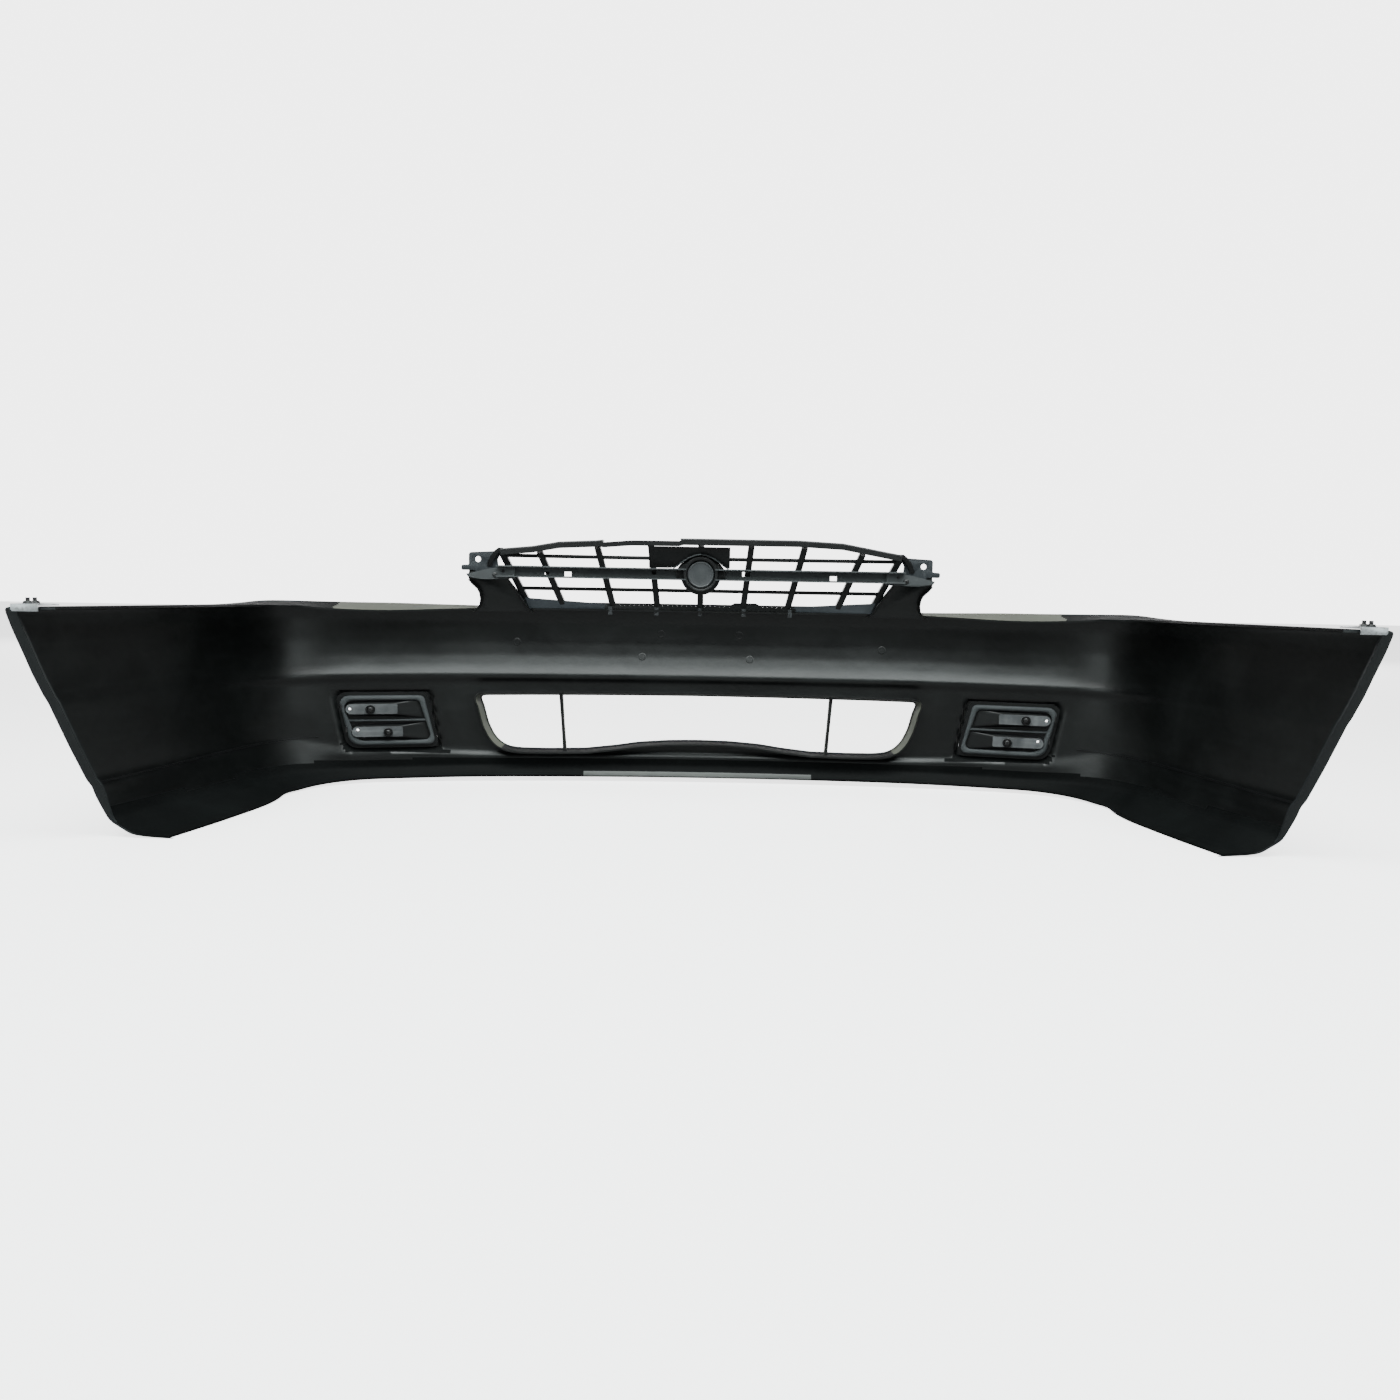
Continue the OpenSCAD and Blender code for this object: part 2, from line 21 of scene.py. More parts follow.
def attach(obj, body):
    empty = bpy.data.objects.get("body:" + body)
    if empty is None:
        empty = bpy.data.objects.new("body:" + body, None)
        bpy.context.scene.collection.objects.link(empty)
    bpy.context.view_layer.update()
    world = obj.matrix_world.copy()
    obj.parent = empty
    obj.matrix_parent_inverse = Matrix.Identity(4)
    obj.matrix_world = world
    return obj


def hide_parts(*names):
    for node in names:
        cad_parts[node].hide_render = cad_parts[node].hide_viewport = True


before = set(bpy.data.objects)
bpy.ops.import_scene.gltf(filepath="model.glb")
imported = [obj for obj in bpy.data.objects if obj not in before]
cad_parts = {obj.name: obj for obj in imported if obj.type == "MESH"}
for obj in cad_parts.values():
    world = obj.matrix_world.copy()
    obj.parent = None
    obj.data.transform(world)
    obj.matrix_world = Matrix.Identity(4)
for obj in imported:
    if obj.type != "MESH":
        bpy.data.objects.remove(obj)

LOG = logging.getLogger("bumper_cover")
MM = 0.001
Point2 = tuple[float, float]
Point3 = tuple[float, float, float]


# --------------------------------------------------------------------------- finishes
class Surface(Enum):
    """The named finishes that pieces are dressed in."""

    SKIN = "skin_plastic"
    EDGE = "edge_plastic"
    # the bottom lip's middle in a lighter colour: painted light
    LIP = "lower_lip_plastic"
    # the skin's plastic with little reflection: painted shade
    VALANCE = "valance_plastic_matt"
    # the skin's plastic in a lighter olive: painted light
    THIN = "thin_wall_plastic"
    GRILLE = "grille_plastic_dark"
    BAR = "crossbar_plastic_grey"
    LEDGE = "grille_ledge_plastic"
    BLACK = "black_plastic_smooth"
    EMBLEM = "emblem_plastic_grey"
    BRACKET = "bracket_plastic_blue"
    COVER = "fog_cover_plastic"
    # lighter grey with little reflection: painted highlight
    FRAME = "fog_cover_frame"
    STRIP = "fog_cover_strip"
    COATED = "black_coated_steel"
    SPRING = "spring_steel_strip"
    ZINC = "zinc_plated_sheet"
    FLOOR = "pale_floor"


class Tree:
    """A small helper that wires a node tree by name."""

    def __init__(self, tree: bpy.types.NodeTree) -> None:
        """Keeps the tree to be wired."""
        self.tree = tree

    def add(self, kind: str, **settings: object) -> bpy.types.Node:
        """Adds a node and sets its properties.

        Args:
            kind: Blender's node type name.
            **settings: properties to set on the node.

        Returns:
            The new node.
        """
        node = self.tree.nodes.new(kind)
        for name, value in settings.items():
            setattr(node, name, value)
        return node

    def join(self, out: bpy.types.NodeSocket, into: bpy.types.NodeSocket) -> None:
        """Links one socket to another."""
        self.tree.links.new(out, into)

    def placed(self, vector: bpy.types.NodeSocket, location: Point3 = (0, 0, 0),
               scale: Point3 = (1, 1, 1)) -> bpy.types.NodeSocket:
        """Moves and stretches coordinates.

        Args:
            vector: the coordinates.
            location: how far they are moved.
            scale: how far they are stretched along each axis.

        Returns:
            The changed coordinates.
        """
        node = self.add("ShaderNodeMapping")
        node.inputs["Location"].default_value = location
        node.inputs["Scale"].default_value = scale
        self.join(vector, node.inputs["Vector"])
        return node.outputs["Vector"]

    def noise(self, vector: bpy.types.NodeSocket, scale: float, detail: float = 2.0,
              roughness: float = 0.5, distortion: float = 0.0) -> bpy.types.Node:
        """Adds a noise texture.

        Args:
            vector: the coordinates that it is read at.
            scale: how fine it is.
            detail: how many finer layers it has.
            roughness: how strong the finer layers are.
            distortion: how far it is bent.

        Returns:
            The noise node.
        """
        node = self.add("ShaderNodeTexNoise")
        node.inputs["Scale"].default_value = scale
        node.inputs["Detail"].default_value = detail
        node.inputs["Roughness"].default_value = roughness
        node.inputs["Distortion"].default_value = distortion
        self.join(vector, node.inputs["Vector"])
        return node

    def span(self, value: bpy.types.NodeSocket, start: float, end: float, low: float = 0.0,
             high: float = 1.0) -> bpy.types.NodeSocket:
        """Maps a value from one span to another and holds it at the ends.

        Args:
            value: the value.
            start: value that gives low.
            end: value that gives high.
            low: first result.
            high: last result.

        Returns:
            The mapped value.
        """
        node = self.add("ShaderNodeMapRange")
        for name, number in (("From Min", start), ("From Max", end), ("To Min", low), ("To Max", high)):
            node.inputs[name].default_value = number
        self.join(value, node.inputs["Value"])
        return node.outputs["Result"]

    def maths(self, operation: str, first: bpy.types.NodeSocket,
              second: bpy.types.NodeSocket | float, clamp: bool = False) -> bpy.types.NodeSocket:
        """Adds a sum or product of two values.

        Args:
            operation: Blender's name of the operation.
            first: a value.
            second: another value, or a number.
            clamp: keeps the result between 0 and 1.

        Returns:
            The result.
        """
        node = self.add("ShaderNodeMath", operation=operation, use_clamp=clamp)
        self.join(first, node.inputs[0])
        if isinstance(second, bpy.types.NodeSocket):
            self.join(second, node.inputs[1])
        else:
            node.inputs[1].default_value = second
        return node.outputs[0]

    def blend(self, amount: bpy.types.NodeSocket, first: Point3 | bpy.types.NodeSocket,
              second: Point3) -> bpy.types.NodeSocket:
        """Mixes two colours.

        Args:
            amount: 0 for the first, 1 for the second.
            first: a colour, fixed or from a socket.
            second: a fixed colour.

        Returns:
            The mixed colour.
        """
        node = self.add("ShaderNodeMix", data_type="RGBA")
        self.join(amount, node.inputs[0])
        if isinstance(first, bpy.types.NodeSocket):
            self.join(first, node.inputs[6])
        else:
            node.inputs[6].default_value = (*first, 1.0)
        node.inputs[7].default_value = (*second, 1.0)
        return node.outputs[2]

    def bump(self, height: bpy.types.NodeSocket, strength: float, distance: float,
             normal: bpy.types.NodeSocket | None = None) -> bpy.types.NodeSocket:
        """Tilts the shading normal by a height.

        Args:
            height: the height.
            strength: how much it counts.
            distance: its depth in metres.
            normal: the normal to start from, or None for the surface's own.

        Returns:
            The tilted normal.
        """
        node = self.add("ShaderNodeBump")
        node.inputs["Strength"].default_value = strength
        node.inputs["Distance"].default_value = distance
        self.join(height, node.inputs["Height"])
        if normal is not None:
            self.join(normal, node.inputs["Normal"])
        return node.outputs["Normal"]


@dataclass(frozen=True)
class MouldedPlastic:
    """Bare injection-moulded plastic with grain, scuffs, and lighter patches and streaks that are partly a
    dusty film and partly painted sheen.
    """

    name: str
    colour: tuple[float, float, float]
    dust_sheen_colour: tuple[float, float, float]
    roughness: float = 0.46
    dust_sheen_amount: float = 0.35
    grain_mm: float = 0.9
    grain_depth: float = 0.12
    scuffs: float = 0.5
    specular: float = 0.5
    seed: float = 0.0

    def build(self) -> bpy.types.Material:
        """Makes the material.

        Returns:
            A node material that reads object coordinates only.
        """
        mat = bpy.data.materials.new(self.name)
        mat.use_nodes = True
        mat.node_tree.nodes.clear()
        t = Tree(mat.node_tree)
        out = t.add("ShaderNodeOutputMaterial")
        bsdf = t.add("ShaderNodeBsdfPrincipled")
        t.join(bsdf.outputs["BSDF"], out.inputs["Surface"])
        coord = t.add("ShaderNodeTexCoord").outputs["Object"]
        place = t.placed(coord, (self.seed, self.seed * 0.7, self.seed * 0.3))
        # broad patches and streaks stretched across the car, lighter than the base: partly a dusty film,
        # partly painted sheen
        patch = t.noise(place, 7.0, 6.0, 0.62, 0.6).outputs["Fac"]
        streak = t.noise(t.placed(place, scale=(6.0, 6.0, 60.0)), 1.6, 5.0).outputs["Fac"]
        dust_sheen_mask = t.maths("ADD", t.span(patch, 0.42, 0.78, 0.0, self.dust_sheen_amount),
                       t.span(streak, 0.55, 0.8, 0.0, 0.5 * self.dust_sheen_amount), clamp=True)
        # fine scuffs: thin bright scratches in small groups
        warp = t.noise(place, 9.0, 3.0)
        warped = t.add("ShaderNodeVectorMath", operation="ADD")
        t.join(place, warped.inputs[0])
        t.join(warp.outputs["Color"], warped.inputs[1])
        scuff = t.add("ShaderNodeTexVoronoi", feature="DISTANCE_TO_EDGE")
        scuff.inputs["Scale"].default_value = 26.0
        scuff.inputs["Randomness"].default_value = 1.0
        t.join(warped.outputs["Vector"], scuff.inputs["Vector"])
        scratch = t.maths("MULTIPLY", t.span(scuff.outputs["Distance"], 0.0, 0.012, 1.0, 0.0),
                          t.span(warp.outputs["Fac"], 0.6, 0.72))
        bright = tuple(min(1.0, 2.2 * c) for c in self.dust_sheen_colour)
        colour = t.blend(t.maths("MULTIPLY", scratch, 0.5 * self.scuffs),
                         t.blend(dust_sheen_mask, self.colour, self.dust_sheen_colour), bright)
        t.join(colour, bsdf.inputs["Base Color"])
        # roughness follows the same dusty and painted-sheen patches
        rough = t.span(dust_sheen_mask, 0.0, 1.0, self.roughness, min(0.95, self.roughness + 0.28))
        t.join(rough, bsdf.inputs["Roughness"])
        # leather-like mould grain over a slow waviness of the wall
        grain = t.noise(place, 1.0 / (self.grain_mm * MM)).outputs["Fac"]
        wave = t.noise(place, 22.0).outputs["Fac"]
        t.join(t.bump(wave, 0.2, 0.003, t.bump(grain, self.grain_depth, 0.0004)), bsdf.inputs["Normal"])
        bsdf.inputs["Specular IOR Level"].default_value = self.specular
        return mat


@dataclass(frozen=True)
class MetalFinish:
    """Plated, coated or bare sheet metal with fine drawn lines and tarnish."""

    name: str
    colour: tuple[float, float, float]
    tarnish: tuple[float, float, float]
    metallic: float = 1.0
    roughness: float = 0.35
    coat: float = 0.0

    def build(self) -> bpy.types.Material:
        """Makes the material.

        Returns:
            A node material that reads object coordinates only.
        """
        mat = bpy.data.materials.new(self.name)
        mat.use_nodes = True
        mat.node_tree.nodes.clear()
        t = Tree(mat.node_tree)
        out = t.add("ShaderNodeOutputMaterial")
        bsdf = t.add("ShaderNodeBsdfPrincipled")
        t.join(bsdf.outputs["BSDF"], out.inputs["Surface"])
        bsdf.inputs["Metallic"].default_value = self.metallic
        bsdf.inputs["Coat Weight"].default_value = self.coat
        bsdf.inputs["Coat Roughness"].default_value = 0.25
        coord = t.add("ShaderNodeTexCoord").outputs["Object"]
        spots = t.span(t.noise(coord, 260.0, 6.0).outputs["Fac"], 0.45, 0.7)
        t.join(t.blend(spots, self.colour, self.tarnish), bsdf.inputs["Base Color"])
        rough = t.span(spots, 0.0, 1.0, self.roughness, min(0.95, self.roughness + 0.25))
        t.join(rough, bsdf.inputs["Roughness"])
        drawn = t.noise(t.placed(coord, scale=(300.0, 3000.0, 3000.0)), 1.0).outputs["Fac"]
        t.join(t.bump(drawn, 0.15, 0.0002), bsdf.inputs["Normal"])
        return mat


@dataclass(frozen=True)
class FloorPaint:
    """A plain pale studio floor, brighter to the camera than to the object."""

    name: str
    colour: tuple[float, float, float] = (0.95, 0.95, 0.95)
    bounce: float = 0.22
    glow: float = 2.2

    def build(self) -> bpy.types.Material:
        """Makes the floor's material.

        Returns:
            A plain, matt node material.
        """
        mat = bpy.data.materials.new(self.name)
        mat.use_nodes = True
        t = Tree(mat.node_tree)
        bsdf = mat.node_tree.nodes["Principled BSDF"]
        bsdf.inputs["Roughness"].default_value = 0.9
        bsdf.inputs["Specular IOR Level"].default_value = 0.1
        camera = t.add("ShaderNodeLightPath").outputs["Is Camera Ray"]
        dim = tuple(self.bounce * c for c in self.colour)
        t.join(t.blend(camera, dim, self.colour), bsdf.inputs["Base Color"])
        bsdf.inputs["Emission Color"].default_value = (1.0, 1.0, 1.0, 1.0)
        t.join(t.maths("MULTIPLY", camera, self.glow), bsdf.inputs["Emission Strength"])
        return mat


FINISHES: dict[Surface, MouldedPlastic | MetalFinish | FloorPaint] = {
    # the skin's lighter patch colour stands partly for a dusty film and partly for painted sheen
    Surface.SKIN: MouldedPlastic(
        Surface.SKIN.value, (0.0016, 0.002, 0.002), (0.014, 0.0165, 0.016), roughness=0.34,
        specular=0.5),
    Surface.EDGE: MouldedPlastic(
        Surface.EDGE.value, (0.009, 0.0115, 0.0125), (0.03, 0.035, 0.037), roughness=0.55, dust_sheen_amount=0.4,
        seed=3.0),
    # painted light: a lighter copy of the skin's plastic on the middle of the bottom lip
    Surface.LIP: MouldedPlastic(
        Surface.LIP.value, (0.05, 0.055, 0.052), (0.13, 0.14, 0.13), roughness=0.55, dust_sheen_amount=0.5,
        seed=3.5),
    # painted shade: the skin's plastic, matt and with its reflection turned down, on the lower band, the fog
    # pockets' up-facing slopes and the wings' up-facing shelves
    Surface.VALANCE: MouldedPlastic(
        Surface.VALANCE.value, (0.0022, 0.0028, 0.0028), (0.011, 0.013, 0.0128), roughness=0.7,
        specular=0.1, seed=2.0),
    # painted light: the skin's plastic in a lighter olive, on the up-facing shelves beside the lamps and on
    # the intake's side walls
    Surface.THIN: MouldedPlastic(
        Surface.THIN.value, (0.055, 0.058, 0.045), (0.13, 0.135, 0.105), roughness=0.55, dust_sheen_amount=0.5,
        seed=4.0),
    Surface.GRILLE: MouldedPlastic(
        Surface.GRILLE.value, (0.004, 0.0045, 0.0046), (0.02, 0.022, 0.0225), roughness=0.45,
        specular=0.35, seed=5.0),
    Surface.BAR: MouldedPlastic(
        Surface.BAR.value, (0.032, 0.036, 0.038), (0.085, 0.093, 0.096), roughness=0.55, dust_sheen_amount=0.5,
        seed=7.0),
    Surface.LEDGE: MouldedPlastic(
        Surface.LEDGE.value, (0.05, 0.06, 0.07), (0.12, 0.13, 0.14), roughness=0.55, dust_sheen_amount=0.5,
        seed=8.0),
    Surface.BLACK: MouldedPlastic(
        Surface.BLACK.value, (0.003, 0.0033, 0.0035), (0.014, 0.015, 0.016), roughness=0.42,
        dust_sheen_amount=0.25, specular=0.35, seed=9.0),
    Surface.EMBLEM: MouldedPlastic(
        Surface.EMBLEM.value, (0.022, 0.025, 0.027), (0.065, 0.07, 0.073), roughness=0.5, dust_sheen_amount=0.5,
        seed=11.0),
    Surface.BRACKET: MouldedPlastic(
        Surface.BRACKET.value, (0.018, 0.0215, 0.025), (0.06, 0.067, 0.073), roughness=0.6, dust_sheen_amount=0.5,
        specular=0.3, seed=13.0),
    Surface.COVER: MouldedPlastic(
        Surface.COVER.value, (0.0022, 0.0026, 0.0027), (0.014, 0.0155, 0.016), roughness=0.4,
        specular=0.4, seed=15.0),
    # painted highlight: lighter grey with little reflection, on the fog cover's bead and divider
    Surface.FRAME: MouldedPlastic(
        Surface.FRAME.value, (0.042, 0.047, 0.049), (0.095, 0.102, 0.105), roughness=0.72, dust_sheen_amount=0.5,
        specular=0.15, seed=16.0),
    Surface.STRIP: MouldedPlastic(
        Surface.STRIP.value, (0.045, 0.049, 0.052), (0.2, 0.21, 0.215), roughness=0.6, dust_sheen_amount=0.9,
        seed=17.0),
    Surface.COATED: MetalFinish(
        Surface.COATED.value, (0.006, 0.006, 0.0065), (0.02, 0.02, 0.02), metallic=0.0, roughness=0.35,
        coat=0.3),
    Surface.SPRING: MetalFinish(
        Surface.SPRING.value, (0.09, 0.095, 0.1), (0.04, 0.04, 0.04), roughness=0.5),
    Surface.ZINC: MetalFinish(
        Surface.ZINC.value, (0.62, 0.64, 0.66), (0.42, 0.43, 0.43), roughness=0.42),
    Surface.FLOOR: FloorPaint(Surface.FLOOR.value),
}


class Paint:
    """Builds each finish once and hands it out."""

    def __init__(self) -> None:
        """Starts with no material made."""
        self.made: dict[Surface, bpy.types.Material] = {}

    def get(self, surface: Surface) -> bpy.types.Material:
        """Gives the material of a finish.

        Args:
            surface: the finish wanted.

        Returns:
            The one material made for it.
        """
        if surface not in self.made:
            self.made[surface] = FINISHES[surface].build()
        return self.made[surface]


PAINT = Paint()


# --------------------------------------------------------------------------- mesh tools
class Shell:
    """Collects points and faces in millimetres and turns them into one piece."""

    def __init__(self) -> None:
        """Starts empty."""
        self.points: list[Point3] = []
        self.faces: list[tuple[int, ...]] = []
        self.marks: list[int] = []

    def grid(self, rows: np.ndarray, closed: bool = False, mark: int = 0) -> None:
        """Adds a sheet of quads.

        Args:
            rows: points as an array of shape (rows, columns, 3).
            closed: joins the last column to the first.
            mark: material index of the faces.
        """
        base, (n, m, _) = len(self.points), rows.shape
        self.points.extend(map(tuple, rows.reshape(-1, 3)))
        for j in range(n - 1):
            for i in range(m if closed else m - 1):
                k = (i + 1) % m
                self.faces.append((base + j * m + i, base + j * m + k,
                                   base + (j + 1) * m + k, base + (j + 1) * m + i))
                self.marks.append(mark)

    def cap(self, loop: Sequence[Point3], mark: int = 0) -> None:
        """Adds one flat face over a loop."""
        base = len(self.points)
        self.points.extend(tuple(p) for p in loop)
        self.faces.append(tuple(range(base, base + len(loop))))
        self.marks.append(mark)

    def beam(self, a: Point3, b: Point3, size: Point3, mark: int = 0) -> None:
        """Adds a straight bar whose two end sections are upright boxes.

        Args:
            a: middle of the first end section.
            b: middle of the second end section.
            size: full width in x, y and z of each end section.
            mark: material index of the faces.
        """
        bm = bmesh.new()
        for end in (a, b):
            for corner in np.ndindex(2, 2, 2):
                bm.verts.new([end[i] + (corner[i] - 0.5) * size[i] for i in range(3)])
        bmesh.ops.convex_hull(bm, input=bm.verts)
        bmesh.ops.delete(bm, geom=[v for v in bm.verts if not v.link_faces], context="VERTS")
        bmesh.ops.dissolve_limit(bm, angle_limit=0.02, verts=bm.verts, edges=bm.edges)
        self.take(bm, mark)

    def take(self, bm: bmesh.types.BMesh, mark: int = 0) -> None:
        """Adds everything in a bmesh, then frees it."""
        base = len(self.points)
        bm.verts.index_update()
        self.points.extend(tuple(v.co) for v in bm.verts)
        for f in bm.faces:
            self.faces.append(tuple(base + v.index for v in f.verts))
            self.marks.append(mark)
        bm.free()

    def piece(self, name: str, surfaces: Sequence[Surface], merge: float = 0.01,
              recalc: bool = True) -> bpy.types.Object:
        """Turns the collected faces into an object in metres.

        Args:
            name: the piece's name.
            surfaces: one finish for each material index.
            merge: distance in millimetres under which points are joined.
            recalc: turns every closed part's faces outwards.

        Returns:
            The new object, at the origin.
        """
        mesh = bpy.data.meshes.new(name)
        mesh.from_pydata([(p[0] * MM, p[1] * MM, p[2] * MM) for p in self.points], [], self.faces)
        mesh.polygons.foreach_set("material_index", self.marks)
        bm = bmesh.new()
        bm.from_mesh(mesh)
        bmesh.ops.remove_doubles(bm, verts=bm.verts, dist=merge * MM)
        bmesh.ops.dissolve_degenerate(bm, edges=bm.edges, dist=1e-7)
        if recalc:
            bmesh.ops.recalc_face_normals(bm, faces=bm.faces)
        bm.to_mesh(mesh)
        bm.free()
        obj = bpy.data.objects.new(name, mesh)
        bpy.context.scene.collection.objects.link(obj)
        for s in surfaces:
            mesh.materials.append(PAINT.get(s))
        return obj


class Workbench:
    """Cuts, rounds and finishes meshes."""

    @staticmethod
    def settle(obj: bpy.types.Object) -> bpy.types.Object:
        """Turns an object's modifiers into plain mesh.

        Args:
            obj: the object to settle.

        Returns:
            The same object with no modifier left.
        """
        graph = bpy.context.evaluated_depsgraph_get()
        mesh = bpy.data.meshes.new_from_object(obj.evaluated_get(graph))
        old = obj.data
        obj.modifiers.clear()
        obj.data = mesh
        mesh.name = old.name
        bpy.data.meshes.remove(old)
        return obj

    @staticmethod
    def cut(obj: bpy.types.Object, cutter: bpy.types.Object) -> None:
        """Takes a closed cutter's room out of an object and removes the cutter."""
        mod = obj.modifiers.new("cut", "BOOLEAN")
        mod.operation = "DIFFERENCE"
        mod.solver = "EXACT"
        mod.object = cutter
        Workbench.settle(obj)
        bpy.data.objects.remove(cutter)

    @staticmethod
    def soften(obj: bpy.types.Object, width: float, angle: float = 35.0, segments: int = 2) -> None:
        """Rounds the sharp edges of an object.

        Args:
            obj: the object.
            width: bevel width in millimetres.
            angle: edges sharper than this many degrees are rounded.
            segments: number of faces across the rounding.
        """
        mod = obj.modifiers.new("round", "BEVEL")
        mod.width = width * MM
        mod.segments = segments
        mod.limit_method = "ANGLE"
        mod.angle_limit = math.radians(angle)
        mod.harden_normals = False
        Workbench.settle(obj)

    @staticmethod
    def smooth(obj: bpy.types.Object, angle: float = 35.0) -> None:
        """Shades an object smooth but for its sharp edges."""
        mesh = obj.data
        mesh.polygons.foreach_set("use_smooth", [True] * len(mesh.polygons))
        mesh.set_sharp_from_angle(angle=math.radians(angle))

    @staticmethod
    def settle_on_body(obj: bpy.types.Object, slot: str, nodes: Sequence[str] = ()) -> None:
        """Ties a finished piece to the one CAD body and the nodes that it stands for."""
        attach(obj, "root")
        if nodes:
            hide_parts(*nodes)
        LOG.info("%s: %d faces", obj.name, len(obj.data.polygons))


def outline_prism(loop: Sequence[Point2], lo: float, hi: float) -> Shell:
    """A closed prism along Y over an outline in X and Z.

    Args:
        loop: the outline, as (x, z) in millimetres.
        lo: its street-side end.
        hi: its inner end.

    Returns:
        The prism's shell.
    """
    s = Shell()
    rows = np.array([[(x, y, z) for x, z in loop] for y in (lo, hi)])
    s.grid(rows, closed=True)
    s.cap([tuple(p) for p in rows[0]])
    s.cap([tuple(p) for p in rows[1]])
    return s


def corner_arc(centre: Point2, radius: float, start: float, end: float, n: int = 6) -> list[Point2]:
    """Points on an arc, as (x, z)."""
    return [
        (centre[0] + radius * math.cos(math.radians(start + (end - start) * k / n)),
         centre[1] + radius * math.sin(math.radians(start + (end - start) * k / n)))
        for k in range(n + 1)
    ]


def grown(loop: Sequence[Point2], distance: float) -> list[Point2]:
    """A closed anticlockwise outline moved outwards by a distance."""
    p = np.array(loop, float)
    t = np.roll(p, -1, 0) - np.roll(p, 1, 0)
    t /= np.maximum(np.linalg.norm(t, axis=1, keepdims=True), 1e-9)
    return [tuple(q) for q in p + distance * np.stack([t[:, 1], -t[:, 0]], 1)]


def resampled(loop: Sequence[Point2], n: int) -> list[Point2]:
    """A closed outline with n evenly spaced points."""
    p = np.array(list(loop) + [loop[0]], float)
    d = np.concatenate([[0.0], np.cumsum(np.linalg.norm(np.diff(p, axis=0), axis=1))])
    at = np.linspace(0.0, d[-1], n, endpoint=False)
    return list(zip(np.interp(at, d, p[:, 0]), np.interp(at, d, p[:, 1])))


def rounded(loop: Sequence[Point2], n: int, passes: int) -> list[Point2]:
    """A closed outline resampled to n points with its corners eased."""
    p = np.array(resampled(loop, n))
    for _ in range(passes):
        p = 0.25 * np.roll(p, 1, 0) + 0.5 * p + 0.25 * np.roll(p, -1, 0)
    return [tuple(q) for q in p]


